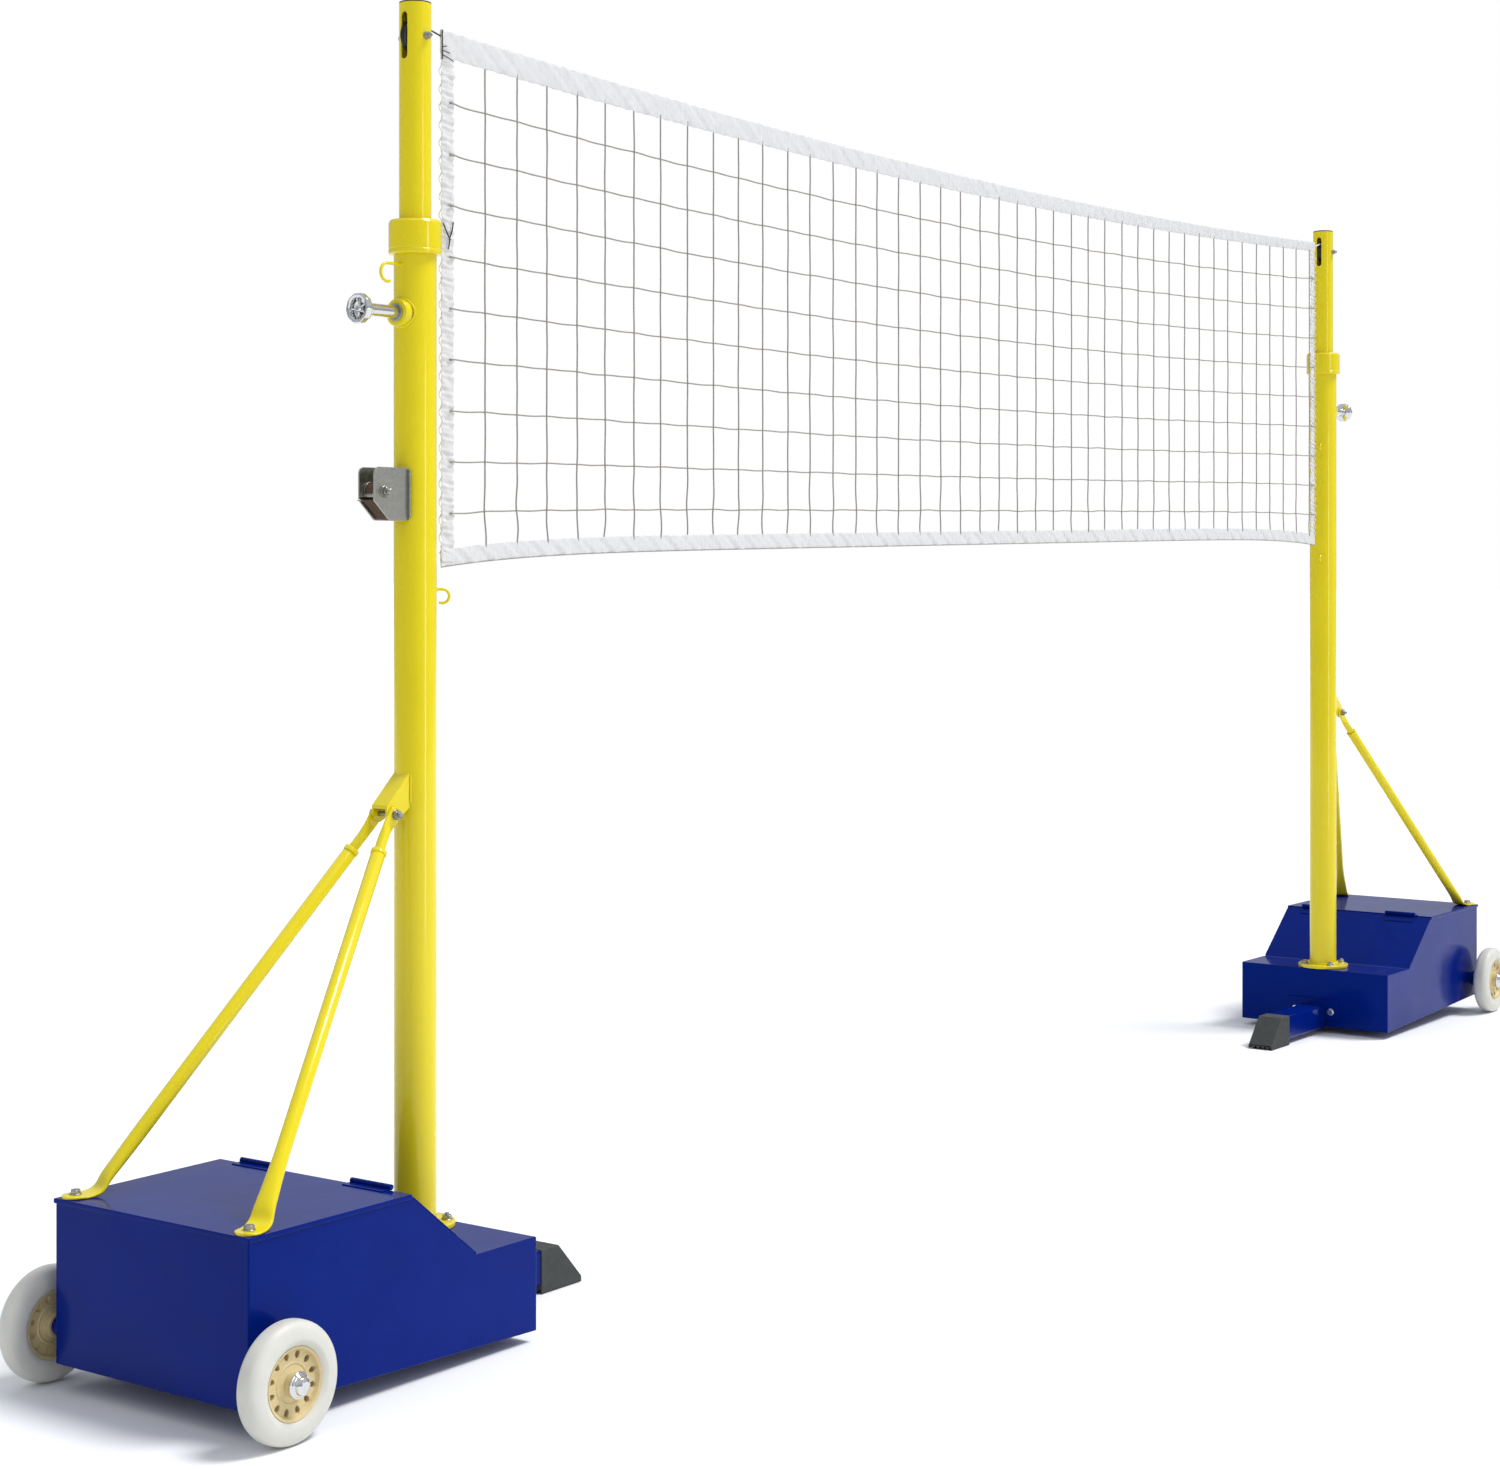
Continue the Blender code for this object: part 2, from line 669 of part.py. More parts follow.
def pulley(name, side):
    """Grooved sheave, and the bolt that it turns on."""
    centre, half = pulley_centre(name, side), PULLEY_WIDTH / 2
    bore = PULLEY_PIN + TURN
    profile = (
        (bore, -half),
        (PULLEY_RADIUS, -half),
        (PULLEY_RADIUS, -half * 0.7),
        (PULLEY_GROOVE, -half * 0.25),
        (PULLEY_GROOVE, half * 0.25),
        (PULLEY_RADIUS, half * 0.7),
        (PULLEY_RADIUS, half),
        (bore, half),
    )
    bm = bmesh.new()
    turned(bm, profile, centre, (0, 1, 0), MEDIUM_ROUND)
    add(f"pulley_{name}", bm, BLACK_PLASTIC, centre)
    bolt(f"pulley_axle_{name}", centre, INNER_RADIUS + CLEAR, PULLEY_PIN, head=0.006, nut=0.007, tail=0.006)


def clamp(name, side):
    """Threaded boss on the lower tube, and the hand screw that grips the upper one."""
    centre = stand(side, 0, 0, CLAMP_HEIGHT)
    out = Vector((side, 0, 0))
    bore, tip = STEM_RADIUS + TURN, INNER_RADIUS + CLEAR
    profile = (
        (bore, INNER_RADIUS),
        (CLAMP_BOSS_RADIUS, INNER_RADIUS),
        (CLAMP_BOSS_RADIUS, CLAMP_BOSS_END - CLAMP_CHAMFER),
        (CLAMP_BOSS_RADIUS - CLAMP_CHAMFER, CLAMP_BOSS_END),
        (bore, CLAMP_BOSS_END),
    )
    bm = bmesh.new()
    turned(bm, profile, centre, out, MEDIUM_ROUND)
    boss = add(f"clamp_boss_{name}", bm, YELLOW)
    clear_of_post(boss, side, CLAMP_HEIGHT)
    wheel_start = OUTER_RADIUS + HANDWHEEL_GAP
    wheel_end = wheel_start + HANDWHEEL_THICK
    rim = HANDWHEEL_RADIUS - HANDWHEEL_ROUND
    profile = (
        (0, tip),
        (STEM_RADIUS - STEM_POINT, tip),
        (STEM_RADIUS, tip + STEM_POINT),
        (STEM_RADIUS, wheel_start - NECK_LENGTH),
        (NECK_RADIUS, wheel_start - NECK_LENGTH),
        (NECK_RADIUS, wheel_start),
        (rim, wheel_start),
        (HANDWHEEL_RADIUS, wheel_start + HANDWHEEL_ROUND),
        (HANDWHEEL_RADIUS, wheel_end - HANDWHEEL_ROUND),
        (rim, wheel_end),
        (0, wheel_end),
    )
    bm = bmesh.new()
    turned(bm, profile, centre, out, ROUND, ring=False)
    add(f"clamp_screw_{name}", bm, CHROME, centre)


# Struts


def strut_bracket(name, side):
    """Folded channel under a sloping roof, welded to the post, and the bolt through its cheeks."""
    root, lip = OUTER_RADIUS * 0.6, EYE_HALF + 2 * BREAK
    outline = (
        (root, BRACKET_HEIGHT + BRACKET_RISE),
        (BRACKET_U + lip, BRACKET_HEIGHT + lip),
        (BRACKET_U + lip, BRACKET_HEIGHT),
        (BRACKET_U + lip * 0.75, BRACKET_HEIGHT - lip * 0.75),
        (BRACKET_U, BRACKET_HEIGHT - lip),
        (BRACKET_U - lip * 0.75, BRACKET_HEIGHT - lip * 0.75),
        (root, BRACKET_HEIGHT + lip),
    )
    bm = bmesh.new()
    prism(bm, [stand(side, u, -BRACKET_HALF, z) for u, z in outline], Vector((0, 2 * BRACKET_HALF, 0)))
    bracket = add(f"strut_bracket_{name}", bm, YELLOW)
    inside = BRACKET_HALF - BRACKET_SHEET
    high, low = Vector(outline[0]), Vector(outline[1])
    roof = (low - high).normalized()
    drop = BRACKET_SHEET / roof.x
    end, bottom = low + roof * BRACKET_RISE, BRACKET_HEIGHT - BRACKET_RISE
    hollow = ((end.x, end.y - drop), (high.x, high.y - drop), (high.x, bottom), (end.x, bottom))
    bm = bmesh.new()
    prism(bm, [stand(side, u, -inside, z) for u, z in hollow], Vector((0, 2 * inside, 0)))
    combine(bracket, bm)
    clear_of_post(bracket, side, BRACKET_HEIGHT)
    centre, reach = stand(side, BRACKET_U, 0, BRACKET_HEIGHT), Vector((0, 2 * BRACKET_HALF, 0))
    rod_through(bracket, centre - reach, centre + reach, BRACKET_BOLT + TURN)
    grip = BRACKET_HALF + EYE_FLAT + 3 * CLEAR
    bolt(f"bracket_bolt_{name}", centre, grip, BRACKET_BOLT, head=0.008, nut=0.009, tail=0.007)


def strut(label, side, across):
    """Brace from the trolley's outer corner to the bracket: flat foot, tube, narrower rod, flat eye."""
    foot_y = across * (PANEL_HALF - STRUT_INSET)
    foot_z = TROLLEY_TOP + 2 * CLEAR + STRUT_FLAT / 2
    foot = stand(side, TROLLEY_REAR - STRUT_INSET, foot_y, foot_z)
    eye = stand(side, BRACKET_U, across * (BRACKET_HALF + CLEAR + EYE_FLAT / 2), BRACKET_HEIGHT)
    up, width = Vector((0, 0, 1)), Vector((0, 1, 0))
    level = Vector((eye.x - foot.x, eye.y - foot.y, 0)).normalized()
    beside = Vector((-level.y, level.x, 0)) * (1 if level.x > 0 else -1)
    flat, half = STRUT_FLAT / 2, STRUT_FOOT_HALF
    heel = foot + level * (half * 2.2) + up * (flat + STRUT_RADIUS * 1.5)
    slope = Vector((foot.x - eye.x, 0, foot.z - eye.z)).normalized()
    neck = eye + slope * (EYE_HALF * 2.4)
    along = (neck - heel).normalized()
    lift = along.cross(beside) * (1 if along.cross(beside).z > 0 else -1)
    eye_lift = Vector((-slope.z * side, 0, slope.x * side))
    step = neck - along * (EYE_HALF * 0.7)
    rings = [
        oval(foot - level * half * 0.98, beside, up, half * 0.30, flat, 0.35),
        oval(foot - level * half * 0.72, beside, up, half * 0.72, flat, 0.35),
        oval(foot - level * half * 0.20, beside, up, half, flat, 0.35),
        oval(foot + level * half * 1.1, beside, up, half, flat, 0.35),
        oval(heel - level * half * 0.35 - up * STRUT_RADIUS, beside, lift, half * 0.85, flat * 2, 0.6),
        oval(heel + along * STRUT_RADIUS * 0.7, beside, lift, STRUT_RADIUS * 1.25, STRUT_RADIUS * 0.75),
        oval(heel + along * STRUT_RADIUS * 3.4, beside, lift, STRUT_RADIUS, STRUT_RADIUS),
        oval(step - along * (ROD_LENGTH - ROD_RADIUS), beside, lift, STRUT_RADIUS, STRUT_RADIUS),
        oval(step - along * (ROD_LENGTH - ROD_RADIUS - 2 * BREAK), beside, lift, ROD_RADIUS, ROD_RADIUS),
        oval(step, beside, lift, ROD_RADIUS, ROD_RADIUS),
        oval(eye + slope * EYE_HALF * 1.65, width, eye_lift, EYE_FLAT / 2, EYE_HALF, 0.45),
        oval(eye - slope * EYE_HALF * 0.35, width, eye_lift, EYE_FLAT / 2, EYE_HALF, 0.45),
        oval(eye - slope * EYE_HALF * 0.95, width, eye_lift, EYE_FLAT / 2, EYE_HALF * 0.4, 0.45),
    ]
    bm = bmesh.new()
    skin(bm, rings)
    made = add(f"strut_{label}", bm, YELLOW)
    reach = Vector((0, EYE_FLAT, 0))
    rod_through(made, eye - reach, eye + reach, BRACKET_BOLT + TURN)


# Hooks and the front foot


def hook(label, side, bearing, height, straight, bend):
    """Bent bar: straight out of the post, then most of a turn downwards."""
    out = Vector((-side * math.cos(math.radians(bearing)), -math.sin(math.radians(bearing)), 0))
    root = stand(side, 0, 0, height) + out * (OUTER_RADIUS + CLEAR)
    points = [root]
    for i in range(HOOK_STEPS):
        turn = math.radians(90 - HOOK_STEP_ANGLE * i)
        drop = Vector((0, 0, bend * (math.sin(turn) - 1)))
        points.append(root + out * (straight + bend * math.cos(turn)) + drop)
    cord(label, points, HOOK_ROD, YELLOW)


def foot_arm(name, side):
    """Square tube welded to a plate, which is bolted to the trolley's front."""
    plate, end = TROLLEY_FRONT - CLEAR, TROLLEY_FRONT - FOOT_REACH
    half, top = FOOT_TUBE / 2, FOOT_TUBE_BOTTOM + FOOT_TUBE
    bm = bmesh.new()
    block(
        bm,
        stand(side, plate, -FOOT_PLATE_WIDTH / 2, FOOT_PLATE_BOTTOM),
        stand(side, plate - FOOT_PLATE_THICK, FOOT_PLATE_WIDTH / 2, FOOT_PLATE_TOP),
    )
    arm = add(f"foot_arm_{name}", bm, BLUE)
    bm = bmesh.new()
    root = plate - FOOT_PLATE_THICK / 2
    block(bm, stand(side, root, -half, FOOT_TUBE_BOTTOM), stand(side, end, half, top))
    combine(arm, bm, "UNION")
    bm = bmesh.new()
    bore = half - FOOT_TUBE_WALL
    block(
        bm,
        stand(side, plate - 2 * FOOT_PLATE_THICK, -bore, FOOT_TUBE_BOTTOM + FOOT_TUBE_WALL),
        stand(side, end - FOOT_TUBE_WALL, bore, top - FOOT_TUBE_WALL),
    )
    combine(arm, bm)


def rubber_foot(name, side):
    """Wedge of rubber with a plug in the end of the tube and grooves along its tread."""
    back = TROLLEY_FRONT - FOOT_REACH - CLEAR
    front = back - RUBBER_TOP_LENGTH
    outline = (
        (back, 0),
        (back - RUBBER_BASE_LENGTH, 0),
        (front - RUBBER_EDGE, RUBBER_HEIGHT - RUBBER_EDGE),
        (front, RUBBER_HEIGHT),
        (back, RUBBER_HEIGHT),
    )
    bm = bmesh.new()
    sweep = Vector((0, RUBBER_WIDTH, 0))
    prism(bm, [stand(side, u, -RUBBER_WIDTH / 2, z) for u, z in outline], sweep)
    rubber = add(f"rubber_foot_{name}", bm, RUBBER)
    bm = bmesh.new()
    margin = FOOT_TUBE_WALL + CLEAR
    plug = FOOT_TUBE / 2 - margin
    block(
        bm,
        stand(side, back - RUBBER_PLUG, -plug, FOOT_TUBE_BOTTOM + margin),
        stand(side, back + RUBBER_PLUG, plug, FOOT_TUBE_BOTTOM + FOOT_TUBE - margin),
    )
    combine(rubber, bm, "UNION")
    bm = bmesh.new()
    pitch = RUBBER_WIDTH / (GROOVES + 0.5)
    start, length = back + 2 * RUBBER_PLUG, RUBBER_BASE_LENGTH + 4 * RUBBER_PLUG
    for i in range(GROOVES):
        y = (i - (GROOVES - 1) / 2) * pitch
        ridge = ((y - pitch * 0.3, -GROOVE_DEPTH), (y, GROOVE_DEPTH), (y + pitch * 0.3, -GROOVE_DEPTH))
        prism(bm, [stand(side, start, across, z) for across, z in ridge], Vector((-side * length, 0, 0)))
    combine(rubber, bm)


# Net


def along_net(x):
    """Share of the way from the net's left end to its right one."""
    return (x - NET_LEFT) / (NET_RIGHT - NET_LEFT)


def edge_height(x, left, right, sag, power):
    """Height of an edge at x: a straight line between its ends, lowered between them."""
    t = along_net(x)
    return left + (right - left) * t - sag * (1 - abs(2 * t - 1) ** power)


def top_edge(x):
    """Height of the top band's upper edge."""
    return edge_height(x, NET_TOP_LEFT, NET_TOP_RIGHT, TOP_SAG, SAG_POWER)


def top_band_foot(x):
    """Height of the top band's lower edge."""
    return top_edge(x) - TOP_BAND_LEFT - (TOP_BAND_RIGHT - TOP_BAND_LEFT) * along_net(x)


def bottom_edge(x):
    """Height of the bottom band's lower edge."""
    left, right = NET_TOP_LEFT - NET_HEIGHT_LEFT, NET_TOP_RIGHT - NET_HEIGHT_RIGHT
    return edge_height(x, left, right, -BOTTOM_BOW, BOW_POWER)


def sheet(name, lower, upper, thick, finish):
    """A thin upright panel between two curves along the net."""
    xs = [NET_LEFT + (NET_RIGHT - NET_LEFT) * i / NET_STEPS for i in range(NET_STEPS + 1)]
    outline = [Vector((x, -thick / 2, lower(x))) for x in xs]
    outline += [Vector((x, -thick / 2, upper(x))) for x in reversed(xs)]
    bm = bmesh.new()
    prism(bm, outline, Vector((0, thick, 0)))
    add(name, bm, finish)


def net():
    """The mesh between its two bands, each a plain panel."""
    sheet("top_band", top_band_foot, top_edge, BAND_THICK, BAND_WHITE)
    sheet("bottom_band", bottom_edge, lambda x: bottom_edge(x) + BOTTOM_BAND, BAND_THICK, BAND_WHITE)
    sheet(
        "net_mesh",
        lambda x: bottom_edge(x) + BOTTOM_BAND + CLEAR,
        lambda x: top_band_foot(x) - CLEAR,
        NET_THICK,
        STRING,
    )


def head_cable(name, side):
    """Cable from the net's top corner, over the pulley and down into the post."""
    centre = pulley_centre(name, side)
    lap = PULLEY_GROOVE + CLEAR + CABLE_RADIUS
    corner_x = NET_LEFT if side < 0 else NET_RIGHT
    corner = Vector((corner_x + side * 2 * CLEAR, 0, top_edge(corner_x) - 5 * CABLE_RADIUS))
    points = [corner]
    for i in range(7):
        turn = math.radians(15 * i - 20)
        points.append(centre + lap * Vector((side * math.sin(turn), 0, math.cos(turn))))
    cord(f"head_cable_{name}", points, CABLE_RADIUS, ZINC)


# Winch


def winch_bracket(side):
    """Channel welded to the post, its lower outer corner cut off at a slant."""
    root, reach = OUTER_RADIUS + CLEAR, OUTER_RADIUS + WINCH_LENGTH
    back, inside = root + WINCH_SHEET, WINCH_HALF - WINCH_SHEET
    low, high = WINCH_HEIGHT - WINCH_BELOW, WINCH_HEIGHT + WINCH_ABOVE
    outline = (
        (root, -WINCH_HALF),
        (reach, -WINCH_HALF),
        (reach, -inside),
        (back, -inside),
        (back, inside),
        (reach, inside),
        (reach, WINCH_HALF),
        (root, WINCH_HALF),
    )
    bm = bmesh.new()
    prism(bm, [stand(side, u, y, low) for u, y in outline], Vector((0, 0, high - low)))
    bracket = add("winch_bracket", bm, ZINC)
    wedge = (
        (reach + WINCH_CHAMFER_U, low - WINCH_CHAMFER_Z),
        (reach - 2 * WINCH_CHAMFER_U, low - WINCH_CHAMFER_Z),
        (reach + WINCH_CHAMFER_U, low + 2 * WINCH_CHAMFER_Z),
    )
    bm = bmesh.new()
    sweep = Vector((0, 4 * WINCH_HALF, 0))
    prism(bm, [stand(side, u, -2 * WINCH_HALF, z) for u, z in wedge], sweep)
    combine(bracket, bm)
    centre = stand(side, OUTER_RADIUS + WINCH_SHAFT_GAP, 0, WINCH_HEIGHT)
    rod_through(bracket, centre - sweep, centre + sweep, SHAFT_RADIUS + TURN)


def winch():
    """The left post's winch: its bracket, the cable's drum, and the shaft that both turn on."""
    side = SIDES["left"]
    winch_bracket(side)
    centre = stand(side, OUTER_RADIUS + WINCH_SHAFT_GAP, 0, WINCH_HEIGHT)
    half, bore = WINCH_HALF - WINCH_SHEET - BREAK, SHAFT_RADIUS + TURN
    inner = half - SPOOL_FLANGE
    profile = (
        (bore, -half),
        (SPOOL_RADIUS, -half),
        (SPOOL_RADIUS, -inner),
        (SPOOL_CORE, -inner),
        (SPOOL_CORE, inner),
        (SPOOL_RADIUS, inner),
        (SPOOL_RADIUS, half),
        (bore, half),
    )
    bm = bmesh.new()
    turned(bm, profile, centre, (0, 1, 0), MEDIUM_ROUND)
    add("winch_spool", bm, ZINC, centre)
    bolt("winch_shaft", centre, WINCH_HALF + CLEAR, SHAFT_RADIUS, head=0.007, nut=0.009, tail=0.007)


for leftover in list(bpy.data.objects):
    bpy.data.objects.remove(leftover, do_unlink=True)

for stand_name, stand_side in SIDES.items():
    trolley_box(stand_name, stand_side)
    box_lid(stand_name, stand_side)
    counterweight(stand_name, stand_side)
    wheels(stand_name, stand_side)
    outer_post(stand_name, stand_side)
    post_collar(stand_name, stand_side)
    inner_post(stand_name, stand_side)
    post_cap(stand_name, stand_side)
    pulley(stand_name, stand_side)
    clamp(stand_name, stand_side)
    strut_bracket(stand_name, stand_side)
    for place, across in NEAR_FAR.items():
        strut(f"{stand_name}_{place}", stand_side, across)
    foot_arm(stand_name, stand_side)
    rubber_foot(stand_name, stand_side)
    head_cable(stand_name, stand_side)
for stand_name, level, bearing, drop, straight, bend in HOOKS:
    hook(f"{level}_hook_{stand_name}", SIDES[stand_name], bearing, OUTER_TOP - drop, straight, bend)
net()
winch()
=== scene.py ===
"""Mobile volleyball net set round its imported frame: finished surfaces, cords and cloth, light and camera.

Metres, +Z up, X along the net and Y across it. Within a stand, u is the distance from its post's axis
away from the net, so one function makes both stands' pieces, and "near" pieces are those towards -Y.
"""

import json
import math

import bmesh
import bpy
import numpy as np
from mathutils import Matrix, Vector


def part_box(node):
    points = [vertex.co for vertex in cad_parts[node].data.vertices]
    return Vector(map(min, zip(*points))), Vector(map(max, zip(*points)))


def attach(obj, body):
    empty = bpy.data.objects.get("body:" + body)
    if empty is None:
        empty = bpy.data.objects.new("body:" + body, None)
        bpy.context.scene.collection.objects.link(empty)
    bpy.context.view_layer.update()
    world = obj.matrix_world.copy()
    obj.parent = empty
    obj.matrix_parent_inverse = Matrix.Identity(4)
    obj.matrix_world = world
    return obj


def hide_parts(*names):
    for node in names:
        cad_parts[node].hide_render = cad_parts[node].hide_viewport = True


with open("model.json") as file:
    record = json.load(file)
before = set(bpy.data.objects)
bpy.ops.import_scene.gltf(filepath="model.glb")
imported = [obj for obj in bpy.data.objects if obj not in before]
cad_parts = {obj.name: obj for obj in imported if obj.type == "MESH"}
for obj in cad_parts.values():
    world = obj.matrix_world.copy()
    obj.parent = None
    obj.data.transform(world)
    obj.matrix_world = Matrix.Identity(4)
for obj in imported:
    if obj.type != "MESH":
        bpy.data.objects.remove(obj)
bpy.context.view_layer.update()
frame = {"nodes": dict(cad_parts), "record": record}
RECORD = frame["record"]
SLOT_OF = {part["node"]: part["material_slot"] for part in RECORD["subparts"]}
BODY_OF = {node: body for body, nodes in RECORD["behaviour"]["bodies"].items() for node in nodes}
SIDES = {"left": -1, "right": 1}
NEAR_FAR = {"near": -1, "far": 1}
ROUND = 96
MM = 0.001
X_AXIS, Y_AXIS, Z_AXIS = np.eye(3)
TURN = 2 * math.pi


def span(node):
    """Lowest and highest corner of a CAD node."""
    low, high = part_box(node)
    return np.array(low), np.array(high)


POST_X = float(sum(corner[0] for corner in span("outer_post_right")) / 2)


def at(side, u, y, z):
    """Points of a stand from u, y and z, which may be arrays."""
    u, y, z = np.broadcast_arrays(np.asarray(u, float), y, z)
    return np.stack([side * (POST_X + u), y, z], axis=-1)


def unit(vector):
    """A vector, or each row of vectors, at length one."""
    vector = np.asarray(vector, float)
    return vector / np.linalg.norm(vector, axis=-1, keepdims=True)


def raised(vector):
    """A vector at length one, turned over if it points down."""
    return unit(vector) * np.sign(vector[2])


# Finishes


def srgb(code):
    """A hex colour as linear light: the sRGB curve undone for each channel."""
    parts = [int(code[i : i + 2], 16) / 255 for i in (1, 3, 5)]
    return (*[c / 12.92 if c <= 0.04045 else ((c + 0.055) / 1.055) ** 2.4 for c in parts], 1)


def add(tree, kind, links=None, **settings):
    """Adds a shader node with its settings, and fills its inputs with values or other nodes' outputs."""
    made = tree.nodes.new(kind)
    for key, value in settings.items():
        setattr(made, key, value)
    for key, value in (links or {}).items():
        if isinstance(value, bpy.types.NodeSocket):
            tree.links.new(value, made.inputs[key])
        else:
            made.inputs[key].default_value = value
    return made


def finish(name, tones, patch, gloss, gloss_patch, bumps, **sockets):
    """A painted, cast, plated or woven surface.

    Colour drifts between two tones in patches of a size in mm, roughness between two values likewise,
    and each bump is (size in mm, depth in mm) of a layer of noise that tilts the surface. The roughness
    reaches its two values where the noise is 0.3 and 0.7, which hold nearly all of it.
    """
    material = bpy.data.materials.new(name)
    material.use_nodes = True
    tree = material.node_tree
    shader = tree.nodes["Principled BSDF"]
    place = add(tree, "ShaderNodeTexCoord").outputs["Object"]
    drift = add(tree, "ShaderNodeTexNoise", {"Vector": place, "Scale": 1 / (patch * MM), "Detail": 4.0})
    mix = add(tree, "ShaderNodeMix", {"Factor": drift.outputs["Fac"]}, data_type="RGBA")
    mix.inputs["A"].default_value, mix.inputs["B"].default_value = srgb(tones[0]), srgb(tones[1])
    tree.links.new(mix.outputs["Result"], shader.inputs["Base Color"])
    haze = add(tree, "ShaderNodeTexNoise", {"Vector": place, "Scale": 1 / (gloss_patch * MM), "Detail": 5.0})
    ends = {"From Min": 0.3, "From Max": 0.7, "To Min": gloss[0], "To Max": gloss[1]}
    spread = add(tree, "ShaderNodeMapRange", {"Value": haze.outputs["Fac"], **ends})
    tree.links.new(spread.outputs["Result"], shader.inputs["Roughness"])
    normal = None
    for size, depth in bumps:
        grain = add(tree, "ShaderNodeTexNoise", {"Vector": place, "Scale": 1 / (size * MM), "Detail": 2.0})
        bump = add(tree, "ShaderNodeBump", {"Height": grain.outputs["Fac"], "Distance": depth * MM})
        if normal:
            tree.links.new(normal, bump.inputs["Normal"])
        normal = bump.outputs["Normal"]
    if normal:
        tree.links.new(normal, shader.inputs["Normal"])
    for key, value in sockets.items():
        shader.inputs[key.replace("_", " ")].default_value = value
    return material


FINISHES = {
    # Powder coat on steel tube: a warm lemon yellow, glossy, with the faint orange peel of baked powder
    "yellow_powder_coat": finish(
        "Yellow powder coat", ("#DAC604", "#E1CF0A"), 160, (0.20, 0.28), 40, ((2.4, 0.02),),
        Coat_Weight=0.40, Coat_Roughness=0.08, Specular_IOR_Level=0.25,
    ),
    # Enamel on folded sheet: deep blue with a wet gloss, over sheet that is never quite flat
    "blue_powder_coat": finish(
        "Deep blue enamel", ("#01145F", "#02207C"), 220, (0.10, 0.16), 60, ((140, 1.6), (2.6, 0.015)),
        Specular_IOR_Level=0.16, Specular_Tint=srgb("#6A93F5"),
    ),
    # Cast polyurethane: off-white, satin, a little light passes under its skin, faint scuffs
    "white_tyre": finish(
        "Cast polyurethane", ("#C6C5BB", "#D3D2CA"), 30, (0.36, 0.52), 12, ((5.0, 0.04),),
        Subsurface_Weight=0.15, Subsurface_Scale=0.008, Specular_IOR_Level=0.45,
    ),
    # Moulded glass-filled nylon: cream, satin, slightly cloudy
    "cream_nylon": finish(
        "Moulded nylon", ("#C3AF7B", "#D3C192"), 9, (0.38, 0.52), 5, ((1.6, 0.03),), Specular_IOR_Level=0.5
    ),
    # Zinc plate on pressed steel: grey with a dull crystalline bloom, drawn at 7 mm for a real 2 mm to show
    "zinc_plated_steel": finish(
        "Zinc-plated steel", ("#8F8E86", "#B4B3AA"), 7, (0.28, 0.46), 4, ((1.8, 0.03),), Metallic=1.0
    ),
    # Bright chrome over turned steel
    "chromed_steel": finish(
        "Bright chrome plate", ("#C9C9C8", "#DDDDDC"), 12, (0.07, 0.15), 6, ((6.0, 0.02),), Metallic=1.0
    ),
    # Sand-cast grey iron, rough and nearly black
    "cast_iron": finish(
        "Sand-cast iron", ("#2C2C2D", "#3C3B3A"), 14, (0.62, 0.80), 8, ((1.2, 0.25),), Metallic=0.6
    ),
    # Moulded natural rubber: dull charcoal with a pale bloom, and a fine grain drawn at 1.5 mm to show
    "black_rubber": finish(
        "Moulded rubber", ("#2C2E2D", "#434644"), 18, (0.62, 0.82), 9, ((1.5, 0.12),), Specular_IOR_Level=0.4
    ),
    # Glass-filled polyamide: black, satin
    "black_plastic": finish(
        "Black polyamide", ("#1C1D1E", "#2B2C2D"), 12, (0.36, 0.50), 6, ((1.4, 0.04),)
    ),
    # Knotted polyethylene twine: grey-brown, matt, its strands drawn at 1.2 mm for a real 0.4 mm to show
    "net_cord": finish(
        "Knotted polyethylene twine", ("#847E78", "#9C9690"), 25, (0.70, 0.85), 9, ((1.2, 0.15),)
    ),
    # Coated polyester tape: white, soft sheen, creased. Its 0.5 mm weave is drawn at 2.2 mm to show
    "white_band": finish(
        "Coated polyester tape", ("#C8C7C6", "#D6D5D4"), 35, (0.50, 0.65), 15, ((9.0, 1.1), (2.2, 0.12)),
        Sheen_Weight=0.15, Sheen_Roughness=0.4,
    ),
}
# Woven strap on the winch's drum: brown, matt, its threads drawn at 1 mm for a real 0.4 mm to show
STRAP = finish("Woven webbing", ("#3B2A1E", "#5A4433"), 3, (0.70, 0.85), 4, ((1.0, 0.12),))
# Waxed lacing cord: near black
LACING = finish("Waxed black lacing cord", ("#1B1B1C", "#2A2A2B"), 10, (0.5, 0.65), 6, ((1.0, 0.1),))


# Shapes: each is (points, faces)


def skin(rings, loop=False, ring=True):
    """Joins rows of points into a surface: point j of row i meets j and j + 1 of row i + 1.

    loop joins the last row to the first, and ring closes each row on itself. Open rows of closed rings get
    both end rows filled.
    """
    rings = np.asarray(rings, float)
    rows, across = rings.shape[:2]
    i = np.arange(rows if loop else rows - 1)[:, None]
    j = np.arange(across if ring else across - 1)[None, :]
    next_i, next_j = (i + 1) % rows, (j + 1) % across
    corners = (i * across + j, i * across + next_j, next_i * across + next_j, next_i * across + j)
    faces = np.stack(np.broadcast_arrays(*corners), axis=-1).reshape(-1, 4).tolist()
    if ring and not loop:
        faces.append(list(range(across))[::-1])
        faces.append(list(range((rows - 1) * across, rows * across)))
    return rings.reshape(-1, 3), faces


